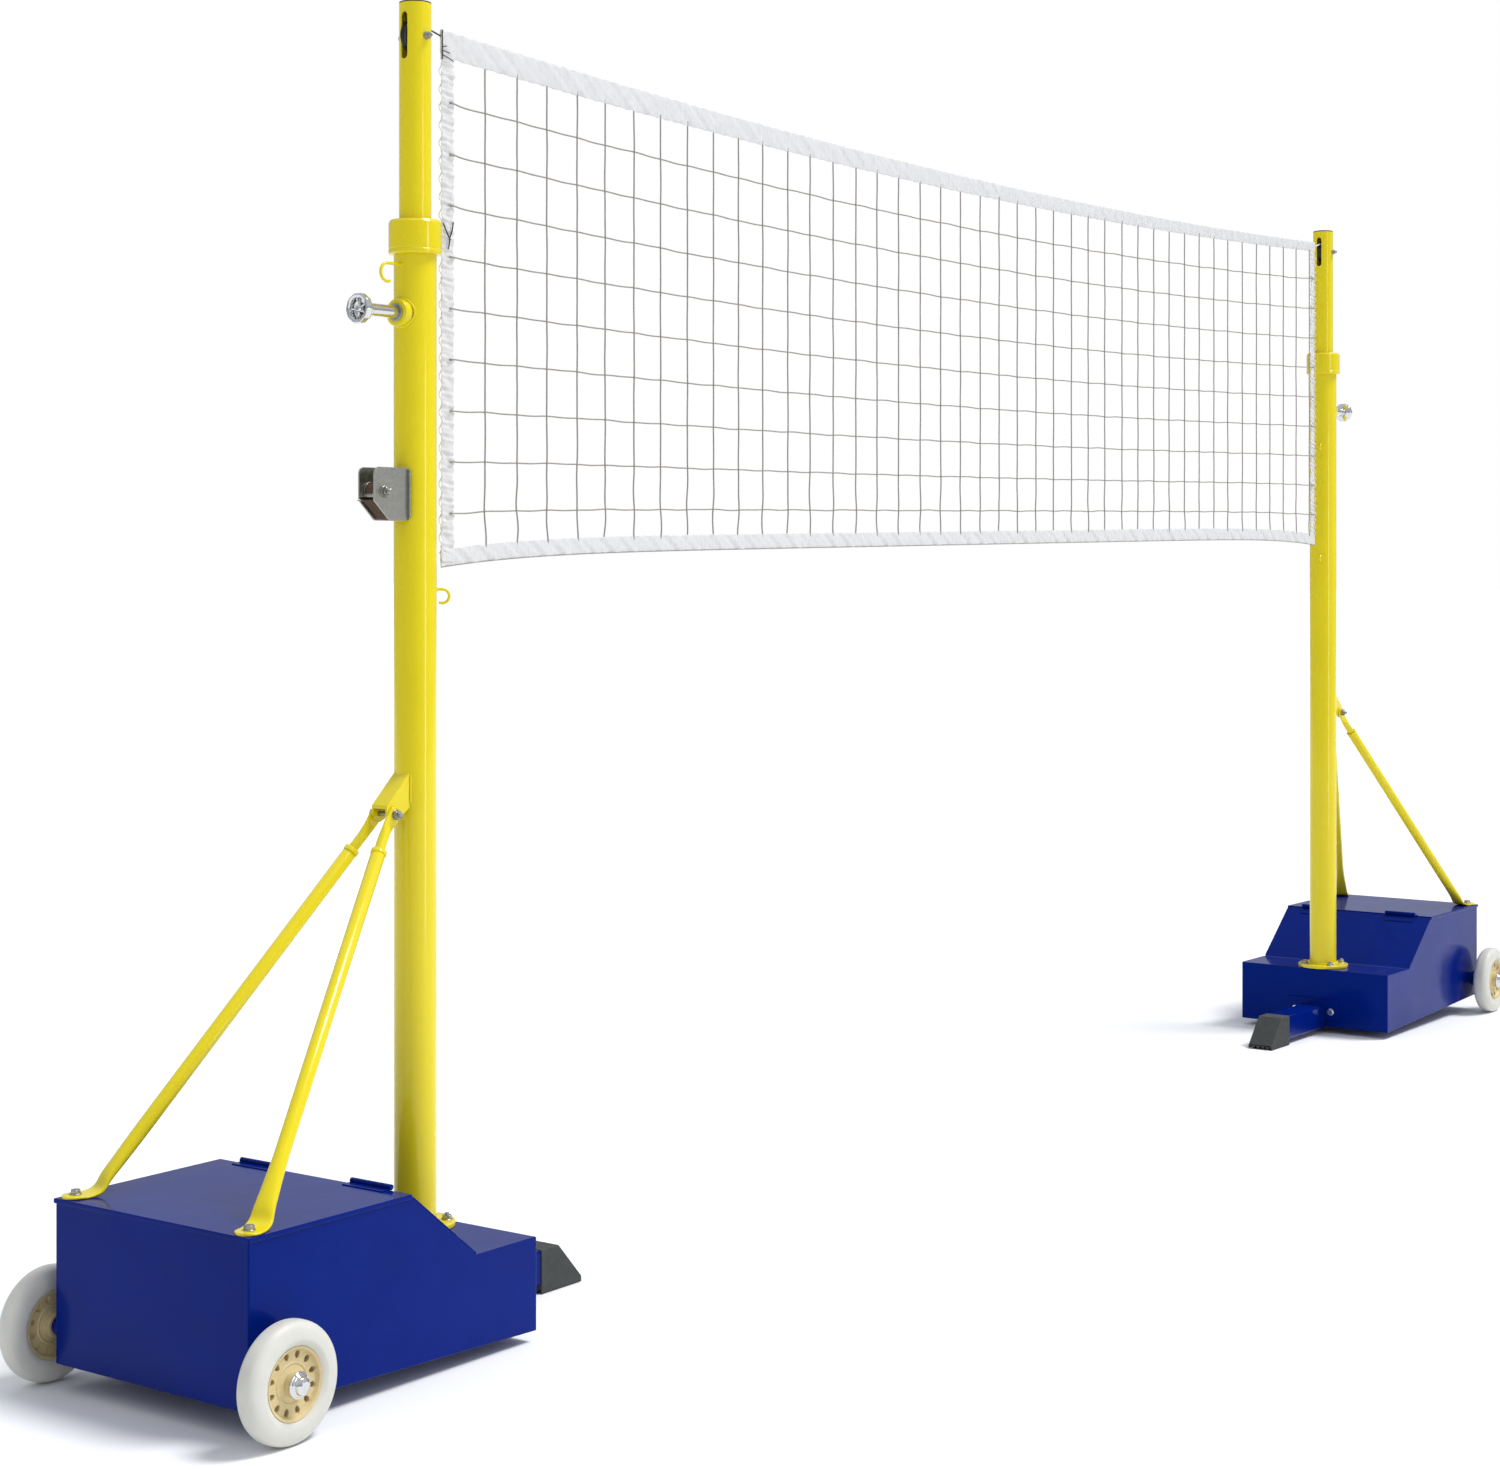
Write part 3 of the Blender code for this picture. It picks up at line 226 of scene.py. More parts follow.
def fillet(points, radius, steps=4, closed=True):
    """Rounds an outline's corners: each becomes an arc tangent to its two sides. One radius, or one each.

    An arc's points are its centre plus its two end spokes, weighted by the sine of the angle to come and
    the sine of the angle gone, over the sine of the whole.
    """
    points = np.asarray(points, float)
    count, shortest, nearly_straight, most = len(points), 1e-9, 0.01, 0.49
    made = []
    for i, (corner, r) in enumerate(zip(points, np.broadcast_to(radius, count))):
        back, ahead = points[i - 1] - corner, points[(i + 1) % count] - corner
        lengths = np.linalg.norm(back), np.linalg.norm(ahead)
        if r <= 0 or min(lengths) < shortest or (not closed and i in (0, count - 1)):
            made.append([corner])
            continue
        back, ahead = back / lengths[0], ahead / lengths[1]
        half = math.acos(max(-1.0, min(1.0, float(back @ ahead)))) / 2
        if math.pi / 2 - half < nearly_straight:
            made.append([corner])
            continue
        reach = min(r / math.tan(half), most * lengths[0], most * lengths[1])
        centre = corner + unit(back + ahead) * reach / math.cos(half)
        first, last = corner + back * reach - centre, corner + ahead * reach - centre
        sweep = math.pi - 2 * half
        gone = sweep * np.linspace(0, 1, steps + 1)[:, None]
        made.append(centre + (np.sin(sweep - gone) * first + np.sin(gone) * last) / math.sin(sweep))
    return np.concatenate(made)


def spokes(axis, turn):
    """Directions square to an axis, at those angles round it."""
    axis = unit(axis)
    side = unit(np.cross(axis, Z_AXIS if abs(axis[2]) < 0.9 else X_AXIS))
    return np.cos(turn)[:, None] * side + np.sin(turn)[:, None] * np.cross(axis, side)


def turned(profile, centre, axis=Z_AXIS, steps=ROUND, loop=False, lobes=0, depth=0.0):
    """Revolves (radius, along) points about an axis. lobes and depth swell the radius by a cosine wave."""
    profile = np.asarray(profile, float)
    turn = TURN * np.arange(steps) / steps
    radii = profile[:, 0, None] * (1 + depth * np.cos(lobes * turn))
    rings = centre + profile[:, 1, None, None] * unit(axis) + radii[..., None] * spokes(axis, turn)
    return skin(rings, loop=loop)


def swept(path, radius, sides=16, loop=False):
    """A round bar along a path: circles of that radius, or one each, square to the path's direction.

    Each circle starts from the direction square to both the path and the axis along which it spans least.
    """
    path = np.asarray(path, float)
    ahead = unit(np.roll(path, -1, 0) - np.roll(path, 1, 0) if loop else np.gradient(path, axis=0))
    side = unit(np.cross(ahead, np.eye(3)[np.argmin(np.ptp(path, axis=0))]))
    turn = (TURN * np.arange(sides) / sides)[:, None]
    circle = np.cos(turn) * side[:, None] + np.sin(turn) * np.cross(ahead, side)[:, None]
    return skin(path[:, None] + np.broadcast_to(radius, len(path))[:, None, None] * circle, loop=loop)


def prism(outline, sweep):
    """An outline of points carried along the sweep, with both ends filled."""
    outline = np.asarray(outline, float)
    return skin([outline, outline + np.asarray(sweep, float)])


def plate(low, high):
    """A box between two corners."""
    (x0, y0, z0), (x1, y1, z1) = low, high
    return prism([(x0, y0, z0), (x1, y0, z0), (x1, y1, z0), (x0, y1, z0)], (0, 0, z1 - z0))


def block(side, u, y, z):
    """A box of a stand, from pairs of u, y and z."""
    ends = at(side, np.array(u), np.array(y), np.array(z))
    return plate(ends.min(0), ends.max(0))


def profile_bar(side, outline, low, high):
    """A stand's (u, z) outline carried across from y = low to y = high."""
    return prism(at(side, outline[:, 0], low, outline[:, 1]), (0, high - low, 0))


def merged(*shapes):
    """Several shapes as one."""
    points, faces, start = [], [], 0
    for some, theirs in shapes:
        points.append(some)
        faces += [[start + k for k in face] for face in theirs]
        start += len(some)
    return np.concatenate(points), faces


def mesh_of(name, shape):
    """A mesh with its doubles merged and its faces pointing outwards."""
    mesh = bpy.data.meshes.new(name)
    mesh.from_pydata(shape[0].tolist(), [], shape[1])
    bm = bmesh.new()
    bm.from_mesh(mesh)
    bmesh.ops.remove_doubles(bm, verts=bm.verts, dist=1e-6)
    bmesh.ops.recalc_face_normals(bm, faces=bm.faces)
    bm.to_mesh(mesh)
    bm.free()
    return mesh


def settle(made):
    """Puts an object's modifiers into its mesh."""
    graph = bpy.context.evaluated_depsgraph_get()
    mesh = bpy.data.meshes.new_from_object(made.evaluated_get(graph))
    old, made.data = made.data, mesh
    made.modifiers.clear()
    bpy.data.meshes.remove(old)


def piece(name, shapes, nodes=(), slot=None, body=None, bevel=0.0, cuts=(), sharp=35, material=None):
    """A finished piece, with bevelled edges, openings cut out, a slot's finish and the body it rides on.

    nodes are the CAD nodes that it stands for, which also give its slot and its body. Edges are drawn
    sharp where the faces meet at more than the angle sharp.
    """
    made = bpy.data.objects.new(name, mesh_of(name, merged(*shapes)))
    bpy.context.scene.collection.objects.link(made)
    if bevel:
        rounding = made.modifiers.new("edge", "BEVEL")
        rounding.width, rounding.segments, rounding.limit_method = bevel, 3, "ANGLE"
        rounding.angle_limit = math.radians(30)
        rounding.use_clamp_overlap = True
    tools = []
    for shape in cuts:
        tool = bpy.data.objects.new("tool", mesh_of("tool", shape))
        bpy.context.scene.collection.objects.link(tool)
        change = made.modifiers.new("shape", "BOOLEAN")
        change.operation, change.solver, change.object = "DIFFERENCE", "EXACT", tool
        tools.append(tool)
    if bevel or tools:
        settle(made)
    for tool in tools:
        mesh = tool.data
        bpy.data.objects.remove(tool)
        bpy.data.meshes.remove(mesh)
    made.data.shade_smooth()
    made.data.set_sharp_from_angle(angle=math.radians(sharp))
    if bevel or tools:
        even = made.modifiers.new("even", "WEIGHTED_NORMAL")
        even.keep_sharp = True
        settle(made)
    slot = slot or SLOT_OF[nodes[0]]
    made.data.materials.clear()
    made.data.materials.append(material or FINISHES[slot])
    if nodes:
        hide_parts(*nodes)
    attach(made, body or BODY_OF[nodes[0]])
    return made


def fixed(name, shapes, slot, **more):
    """A small piece of the stands that no CAD node stands for."""
    piece(name, shapes, slot=slot, body="stands", **more)


# Fastenings

M10 = 0.005


def hexagon(centre, axis, radius, low, high, phase=0.0):
    """A hexagon head or nut: the lesser of a hexagon's radius and that of a cone at each end."""
    turn = phase + TURN * np.arange(48) / 48
    flats = radius * math.cos(math.pi / 6) / np.cos((turn - phase) % (math.pi / 3) - math.pi / 6)
    chamfer = 0.09 * radius
    rows = ((low, 0.90), (low + chamfer, 1.01), (high - chamfer, 1.01), (high, 0.86))
    ways = spokes(axis, turn)
    sizes = [np.minimum(flats, cap * radius)[:, None] for _, cap in rows]
    return skin([centre + axis * along + size * ways for (along, _), size in zip(rows, sizes)])


def washer(centre, axis, radius, thick, start=0.0):
    """A round washer, its outer edge eased by three tenths of its thickness."""
    end, ease = start + thick, thick * 0.3
    profile = ((0, start), (radius, start), (radius, end - ease), (radius - ease, end), (0, end))
    return turned(profile, centre, axis, steps=40)


def thread(centre, axis, radius, start, length):
    """A threaded end: the radius falls by about a quarter of the pitch and rises again in each pitch."""
    pitch = 1.25 * MM
    count = max(2, int(round(2 * length / pitch)))
    along = np.linspace(start, start + length, count + 1)
    radii = np.where(np.arange(count + 1) % 2, radius, radius - 0.28 * pitch)
    radii[-1] = radius * 0.8
    return turned([(0, start), *zip(radii, along), (0, start + length)], centre, axis, steps=24)


def screw_head(centre, axis, radius, phase=0.0):
    """A washer and hexagon head of a bolt of that thread radius, seated on centre."""
    return merged(
        washer(centre, axis, 2.1 * radius, 0.35 * radius),
        hexagon(centre, axis, 1.85 * radius, 0.35 * radius, 1.65 * radius, phase=phase),
    )


def rod(centre, radius, low, high, steps=24):
    """A plain round bar across the stand, from y = low to y = high about its centre."""
    return turned([(0, low), (radius, low), (radius, high), (0, high)], centre, Y_AXIS, steps=steps)


def cross_bolt(name, node, centre, radius, ends, disc, head, near, far, phase):
    """A bolt across the stand: a rod with a washer and a hexagon on each end, and thread on the near one.

    ends are the rod's, and disc and head the radii of washer and hexagon. near and far give the washer's
    start and thickness and the hexagon's start and end outwards, and near's last is the thread's length.
    """
    piece(
        name,
        [rod(centre, radius, *ends), washer(centre, -Y_AXIS, disc, near[1], near[0]),
         hexagon(centre, -Y_AXIS, head, near[2], near[3], phase=phase),
         thread(centre, -Y_AXIS, radius, near[3], near[4]), washer(centre, Y_AXIS, disc, far[1], far[0]),
         hexagon(centre, Y_AXIS, head, far[2], far[3])],
        [node],
    )


def bead(path, radius, ripple):
    """A weld bead: a bar whose radius rises a little with each pool of metal along its path."""
    steps = np.linalg.norm(np.diff(path, axis=0), axis=1)
    along = np.concatenate([[0], np.cumsum(steps)])
    return swept(path, radius * (1 + 0.16 * np.cos(TURN * along / ripple)), sides=8)


def ring_weld(path, radius, ripples, depth, sides=8):
    """A weld bead round a closed path, its radius swelled by a cosine wave of that many ripples."""
    turn = TURN * np.arange(len(path)) / len(path)
    return swept(path, radius * (1 + depth * np.cos(ripples * turn)), sides=sides, loop=True)


# Trolleys

FLOOR_FRONT, FLOOR_REAR = 0.020, 0.047
DECK, SLOPE_FOOT, SLOPE_TOP = 0.1935, 0.092, 0.265
SHEET, FOLD = 0.003, 0.0028
BOX_LOW, BOX_HIGH = span("trolley_box_right")
FRONT, REAR = BOX_LOW[0] - POST_X, BOX_HIGH[0] - POST_X
HALF_WIDTH = 0.239
LID_TOP, LID_UNDER = float(span("box_lid_right")[1][2]), 0.3315
RIM, BOLT_INSET = 0.022, 0.024
SLOPE = unit([SLOPE_FOOT - SLOPE_TOP, DECK - LID_UNDER])
OFF_SLOPE = np.array([-SLOPE[1], SLOPE[0]]) * np.sign(SLOPE[0])
HINGE_OFFSET, HINGE_HALF, KNUCKLE = 0.140, 0.049, 0.0052
KNUCKLES = (
    (-HINGE_HALF, -0.030), (-0.0296, -0.0102), (-0.0098, 0.0098), (0.0102, 0.0296), (0.030, HINGE_HALF),
)


def floor_at(u):
    """Height of the floor panel's underside: a straight line from the front to the rear."""
    return FLOOR_FRONT + (FLOOR_REAR - FLOOR_FRONT) * (u - FRONT) / (REAR - FRONT)


def folded_box(side, inset):
    """The box's side view, drawn in by inset all round, carried across its width less the same inset."""
    steepness = math.atan2(LID_UNDER - DECK, SLOPE_TOP - SLOPE_FOOT)
    shift = inset * math.tan(steepness / 2)
    front, rear, half = FRONT + inset, REAR - inset, HALF_WIDTH - inset
    outline = np.array([
        (front, floor_at(front) + inset), (rear, floor_at(rear) + inset), (rear, LID_UNDER - inset),
        (SLOPE_TOP + shift, LID_UNDER - inset), (SLOPE_FOOT + shift, DECK - inset), (front, DECK - inset),
    ])
    return profile_bar(side, outline, -half, half)


def shell(name, side):
    """Folded sheet box with its mouth, and the turned bosses that hold the axle."""
    mouth = HALF_WIDTH - RIM
    opening = block(side, (SLOPE_TOP + RIM, REAR - RIM), (-mouth, mouth), (0.32, 0.34))
    piece(
        f"trolley_shell_{name}", [folded_box(side, 0)], [f"trolley_box_{name}"], bevel=FOLD,
        cuts=[folded_box(side, SHEET), opening],
    )
    low, high = span(f"tyre_{name}_near")
    axle_u, axle_z = side * (low[0] + high[0]) / 2 - POST_X, (low[2] + high[2]) / 2
    bore, neck, flange, reach = 0.0104, 0.017, 0.024, 0.0322
    profile = [(bore, 0), (flange, 0), (flange, 0.003), (neck, 0.005), (neck, reach), (bore, reach)]
    profile = fillet(profile, 0.0008, 2)
    bosses = []
    for across in NEAR_FAR.values():
        root = at(side, axle_u, across * (HALF_WIDTH - 0.001), axle_z)
        bosses.append(turned(profile, root, across * Y_AXIS, steps=48, loop=True))
    fixed(f"axle_bosses_{name}", bosses, "blue_powder_coat")


def lid(name, side):
    """Lid with edges turned down on three sides: a slab hollowed from below, open towards the hinges."""
    wall, past = 0.0025, 0.02
    low, high = span(f"box_lid_{name}")
    inner_low, inner_high = low + (wall, wall, -0.01), high - wall
    if side > 0:
        inner_low[0] -= past
    else:
        inner_high[0] += past
    piece(
        f"lid_panel_{name}", [plate(low, high)], [f"box_lid_{name}"], bevel=0.0018,
        cuts=[plate(inner_low, inner_high)],
    )


def hinges(name, side):
    """Two butt hinges: a rolled knuckle in five lengths, a leaf on the lid and one down the slope."""
    made, seams = [], []
    for across in (-HINGE_OFFSET, HINGE_OFFSET):
        pin = at(side, SLOPE_TOP - 0.003, across, LID_TOP + 0.0042)
        for first, last in KNUCKLES:
            profile = [(0, first), (KNUCKLE, first), (KNUCKLE, last), (0, last)]
            made.append(turned(fillet(profile, 0.0008, 2, closed=False), pin, Y_AXIS, steps=24))
        low, high = across - HINGE_HALF, across + HINGE_HALF
        u, z = (SLOPE_TOP - 0.002, SLOPE_TOP + 0.021), (LID_TOP - 0.0002, LID_TOP + 0.0018)
        made.append(block(side, u, (low, high), z))
        start = np.array([SLOPE_TOP, LID_UNDER]) - OFF_SLOPE * 0.0004
        down, thick = SLOPE * 0.026, OFF_SLOPE * 0.0024
        leaf = np.array([start, start + down, start + down + thick, start + thick])
        made.append(profile_bar(side, leaf, low, high))
        edge = start + SLOPE * 0.0265 + OFF_SLOPE * 0.0006
        y = np.linspace(low + 0.002, high - 0.002, 60)
        seams.append(bead(at(side, edge[0], y, edge[1]), 0.0016, 0.006))
    fixed(f"lid_hinges_{name}", made, "blue_powder_coat", bevel=0.0004)
    return seams


def edge_seams(side):
    """Weld beads along the side panels' edges, down the slope and along the deck."""
    share = np.linspace(0.02, 0.98, 90)
    slope_u, slope_z = SLOPE_TOP + (SLOPE_FOOT - SLOPE_TOP) * share, LID_UNDER + (DECK - LID_UNDER) * share
    deck_u = SLOPE_FOOT + (FRONT - SLOPE_FOOT) * share
    seams = []
    for across in NEAR_FAR.values():
        y = across * (HALF_WIDTH - 0.0012)
        seams.append(bead(at(side, slope_u, y, slope_z), 0.0013, 0.005))
        seams.append(bead(at(side, deck_u, y, DECK - 0.0008), 0.0013, 0.005))
    return seams


def trolley(name, side):
    """A stand's box with its lid, hinges, seams and strut bolts, and finishes for what it carries over."""
    shell(name, side)
    lid(name, side)
    seams = hinges(name, side) + edge_seams(side)
    fixed(f"trolley_seams_{name}", seams, "blue_powder_coat")
    heads = []
    for across in NEAR_FAR.values():
        foot = at(side, REAR - BOLT_INSET, across * (HALF_WIDTH - BOLT_INSET), LID_TOP + 0.0056)
        heads.append(screw_head(foot, Z_AXIS, M10, phase=0.4 * across))
    fixed(f"strut_foot_bolts_{name}", heads, "zinc_plated_steel")
    for node in (f"counterweight_{name}", f"wheel_axle_{name}"):
        made = frame["nodes"][node]
        made.data.materials.clear()
        made.data.materials.append(FINISHES[SLOT_OF[node]])


# Wheels

TYRE_SEAT, AXLE_BORE, HUB_HOLES = 0.0612, 0.0104, 12


def tyre(label, centre, half, radius, out):
    """Cast tyre: its section is a superellipse, drawn in between its two edges by the hub's seat."""
    turn = np.linspace(0, math.pi, 41)[1:-1]
    crown = TYRE_SEAT + (radius - TYRE_SEAT) * np.sin(turn) ** 0.62
    width = half * np.sign(np.cos(turn)) * np.abs(np.cos(turn)) ** 0.66
    seat = TYRE_SEAT + 0.0003
    profile = [*zip(crown, width), (seat, -half * 0.74), (seat, half * 0.74)]
    cast = turned(profile, centre, out, steps=128, loop=True)
    piece(f"tyre_cast_{label}", [cast], [f"tyre_{label}"], sharp=50)


def hub(label, centre, half, out):
    """Moulded hub: half its section mirrored, turned round the axle, and pierced by a ring of drops.

    A drop is an ellipse along the spoke whose width grows with the distance from the axle.
    """
    outer = [
        (TYRE_SEAT, half * 0.80 - 0.002), (TYRE_SEAT - 0.0004, half * 0.80), (0.0560, half * 0.70),
        (0.0525, half * 0.42), (0.0360, half * 0.40), (0.0330, half * 0.50), (0.0305, half * 0.42),
        (0.0215, half * 0.55), (0.0215, half), (AXLE_BORE, half),
    ]
    profile = [(radius, -along) for radius, along in outer[::-1]] + outer
    lap = TURN * np.arange(32) / 32
    reach, spread = 0.0466 + 0.0066 * np.cos(lap), (0.0050 + 0.0008 * np.cos(lap)) * np.sin(lap)
    drops = []
    for turn in TURN * (np.arange(HUB_HOLES) + 0.5) / HUB_HOLES:
        outward = np.array([math.sin(turn), 0, math.cos(turn)])
        beside = np.array([math.cos(turn), 0, -math.sin(turn)])
        outline = centre + reach[:, None] * outward + spread[:, None] * beside - Y_AXIS * half
        drops.append(prism(outline, 2 * half * Y_AXIS))
    moulding = turned(fillet(profile, 0.0012, 3), centre, out, loop=True)
    piece(f"hub_moulding_{label}", [moulding], [f"hub_{label}"], cuts=[merged(*drops)], sharp=40)


def wheels(name, side):
    """Tyre, hub and domed nut for both wheels of a trolley."""
    nut = [
        (0, 0.0180), (0.0085, 0.0174), (0.0145, 0.0135), (0.0160, 0.0075), (0.0185, 0.0068), (0.0195, 0.0045),
        (0.0225, 0.0040), (0.0225, 0.0001), (0, 0.0001),
    ]
    nut = fillet(nut, 0.0022, 4, closed=False)
    for place, across in NEAR_FAR.items():
        label, out = f"{name}_{place}", across * Y_AXIS
        low, high = span(f"tyre_{label}")
        centre, half, radius = (low + high) / 2, (high[1] - low[1]) / 2, (high[2] - low[2]) / 2
        tyre(label, centre, half, radius, out)
        hub(label, centre, half, out)
        seat = centre + out * (half + 0.0004)
        piece(f"dome_nut_{label}", [turned(nut, seat, out, steps=72)], [f"hub_nut_{label}"], sharp=40)


# Posts

OUTER, OUTER_BORE, INNER, INNER_BORE = 0.040, 0.037, 0.030, 0.027
FLANGE, FLANGE_THICK, BOLT_CIRCLE = 0.075, 0.009, 0.0590
SLOT_HALF_WIDTH, SLOT_HALF_HEIGHT = 0.0085, 0.045


def slot_outline(side, middle, u):
    """An upright slot in a plane at u: two half circles, one above and one below the middle height."""
    turn = np.linspace(0, math.pi, 17)
    straight = SLOT_HALF_HEIGHT - SLOT_HALF_WIDTH
    y, z = SLOT_HALF_WIDTH * np.cos(turn), straight + SLOT_HALF_WIDTH * np.sin(turn)
    return np.concatenate([at(side, u, y, middle + z), at(side, u, -y, middle - z)])


def lower_tube(name, axis):
    """Lower tube with its flange, and the flange's weld and bolts. Returns the weld."""
    low, high = span(f"outer_post_{name}")
    base, top = float(low[2]), float(high[2])
    face = base + FLANGE_THICK
    profile = [
        (OUTER_BORE, base), (FLANGE, base), (FLANGE, face), (OUTER + 0.0005, face), (OUTER, face + 0.0005),
        (OUTER, top), (OUTER_BORE, top),
    ]
    profile = fillet(profile, (0, 0.0008, 0.0022, 0, 0, 0.0006, 0.0006), 4)
    piece(f"lower_tube_{name}", [turned(profile, axis, loop=True)], [f"outer_post_{name}"])
    turn = TURN * np.arange(240) / 240
    ring = axis + (OUTER + 0.0015) * spokes(Z_AXIS, turn) + Z_AXIS * (face + 0.001)
    heads = []
    for quarter in range(4):
        turn = math.radians(45 + 90 * quarter)
        spot = axis + (BOLT_CIRCLE * math.cos(turn), BOLT_CIRCLE * math.sin(turn), face)
        heads.append(screw_head(spot, Z_AXIS, M10, phase=0.3 * quarter))
        heads.append(thread(spot, Z_AXIS, 0.0045, 0.005, 0.0075))
    fixed(f"flange_bolts_{name}", heads, "zinc_plated_steel")
    return ring_weld(ring, 0.0034, 52, 0.12, sides=10)


def guide_collar(name, axis):
    """Collar at the lower tube's top: a beaded foot, a plain wall and a shoulder down to the upper tube."""
    low, high = span(f"post_collar_{name}")
    bottom, top, bore = float(low[2]), float(high[2]), OUTER + 0.0003
    profile = [
        (bore, bottom), (0.0482, bottom), (0.0500, bottom + 0.003), (0.0500, bottom + 0.0085),
        (0.0488, bottom + 0.0100), (0.0496, bottom + 0.0115), (0.0496, top - 0.006), (0.0465, top - 0.0005),
        (INNER + 0.0003, top), (INNER + 0.0003, top - 0.0135), (bore, top - 0.0135),
    ]
    collar = turned(fillet(profile, 0.0014, 4), axis, loop=True)
    piece(f"guide_collar_{name}", [collar], [f"post_collar_{name}"])


def upper_tube(name, side, axis, middle):
    """Upper tube with its guide ring, pulley slot and bolt hole, and a rolled lip round the slot's ends."""
    low, high = span(f"inner_post_{name}")
    foot, rim, ring, ring_top = float(low[2]), float(high[2]), 0.0365, float(low[2]) + 0.040
    profile = [
        (INNER_BORE, foot), (ring, foot), (ring, ring_top), (INNER, ring_top), (INNER, rim),
        (INNER_BORE, rim),
    ]
    through = 0.06
    slot = prism(slot_outline(side, middle[2], -through), side * 2 * through * X_AXIS)
    hole = rod(middle, 0.0043, -through, through, steps=32)
    piece(
        f"upper_tube_{name}", [turned(fillet(profile, 0.0006, 3), axis, loop=True)], [f"inner_post_{name}"],
        cuts=[slot, hole],
    )
    lips = []
    for way in (-1, 1):
        edge = slot_outline(side, middle[2], 0)
        edge = edge[np.linalg.norm(edge - np.roll(edge, 1, 0), axis=1) > 1e-6]
        edge[:, 0] = axis[0] + way * np.sqrt((INNER + 0.0002) ** 2 - edge[:, 1] ** 2)
        lips.append(swept(edge, 0.0011, sides=8, loop=True))
    piece(f"slot_lips_{name}", lips, slot="yellow_powder_coat", body=BODY_OF[f"inner_post_{name}"])


def post(name, side):
    """Both tubes, the collar, and the head with its cap, grooved pulley and pulley bolt. Returns the weld."""
    axis = at(side, 0, 0, 0)
    middle = sum(span(f"pulley_{name}")) / 2
    weld = lower_tube(name, axis)
    guide_collar(name, axis)
    upper_tube(name, side, axis, middle)
    top, plug = float(span(f"post_cap_{name}")[1][2]), 0.0267
    profile = [
        (0, top), (0.0265, top), (0.0300, top - 0.0010), (0.0302, top - 0.003), (plug, top - 0.003),
        (plug, top - 0.015), (0, top - 0.015),
    ]
    piece(f"end_cap_{name}", [turned(fillet(profile, 0.0012, 3, closed=False), axis)], [f"post_cap_{name}"])
    half = 0.006
    groove = [
        (0.0275, half * 0.25), (0.033, half * 0.8), (0.0328, half), (0.0265, half), (0.024, half * 0.6),
        (0.010, half * 0.7), (0.009, half), (0.0043, half),
    ]
    profile = fillet([(radius, -along) for radius, along in groove[::-1]] + groove, 0.0008, 3)
    piece(f"sheave_{name}", [turned(profile, middle, Y_AXIS, loop=True)], [f"pulley_{name}"])
    cross_bolt(
        f"sheave_bolt_{name}", f"pulley_axle_{name}", middle, 0.0039, (-0.031, 0.031), 0.0078, 0.0072,
        (0.0301, 0.0014, 0.0315, 0.0373, 0.0058), (0.0303, 0.0012, 0.0315, 0.0360), 0.2,
    )
    return weld


STEM, HAND_SPOKES, HAND_LOBES = 0.0122, 5, 10


def clamp(name, side):
    """Welded boss, and the hand screw: a chromed stem with a neck, and a lobed, spoked handwheel.

    Returns the weld, a circle round the boss laid on the tube: u is the root of the tube's radius squared
    less y squared.
    """
    low, high = span(f"clamp_boss_{name}")
    height = (low[2] + high[2]) / 2
    centre, out, bore = at(side, 0, 0, height), side * X_AXIS, STEM + 0.0001
    boss = [(bore, 0.036), (0.026, 0.036), (0.026, 0.0515), (0.0225, 0.052), (bore, 0.052)]
    boss = turned(fillet(boss, (0, 0, 0.003, 0.001, 0.001), 4), centre, out, loop=True)
    piece(f"clamp_socket_{name}", [boss], [f"clamp_boss_{name}"])
    turn = TURN * np.arange(180) / 180
    y, z = 0.0268 * np.cos(turn), 0.0268 * np.sin(turn)
    ring = at(side, np.sqrt((OUTER + 0.0005) ** 2 - y**2), y, height + z)
    low, high = span(f"clamp_screw_{name}")
    end = float(side * (high[0] if side > 0 else low[0]) - POST_X)
    start = end - 0.024
    stem = [
        (0, 0.0306), (0.009, 0.0306), (STEM, 0.0335), (STEM, start - 0.010), (0.0128, start - 0.009),
        (0.0128, start - 0.004), (0.009, start - 0.002), (0.009, start + 0.003), (0.0130, start + 0.006),
        (0, start + 0.009),
    ]
    rim = [
        (0.0095, start + 0.003), (0.0150, start + 0.004), (0.0272, start + 0.010), (0.0284, start + 0.014),
        (0.0284, end - 0.003), (0.0262, end), (0.0205, end - 0.001), (0.0175, end - 0.012),
        (0.0095, end - 0.013),
    ]
    hub_cap = [
        (0, end - 0.015), (0.0075, end - 0.015), (0.0068, end - 0.005), (0.0045, end - 0.002),
        (0, end - 0.002),
    ]
    wheel = [
        turned(fillet(stem, 0.0010, 3, closed=False), centre, out),
        turned(fillet(rim, 0.0024, 4), centre, out, steps=120, loop=True, lobes=HAND_LOBES, depth=0.016),
        turned(fillet(hub_cap, 0.0012, 3, closed=False), centre, out, steps=48),
    ]
    for turn in TURN * np.arange(HAND_SPOKES) / HAND_SPOKES:
        way = np.array([0, math.cos(turn), math.sin(turn)])
        path = [(0.005, end - 0.0085), (0.012, end - 0.0105), (0.0195, end - 0.0070)]
        wheel.append(swept([centre + out * along + way * reach for reach, along in path], 0.0021, sides=10))
    piece(f"hand_screw_{name}", wheel, [f"clamp_screw_{name}"])
    collar = [(bore, 0.0524), (0.0170, 0.0524), (0.0170, 0.0546), (bore, 0.0546)]
    collar = turned(fillet(collar, 0.0006, 3), centre, out, loop=True)
    piece(f"screw_washer_{name}", [collar], slot="zinc_plated_steel", body=f"clamp_{name}")
    return ring_weld(ring, 0.0026, 36, 0.14)


# Struts

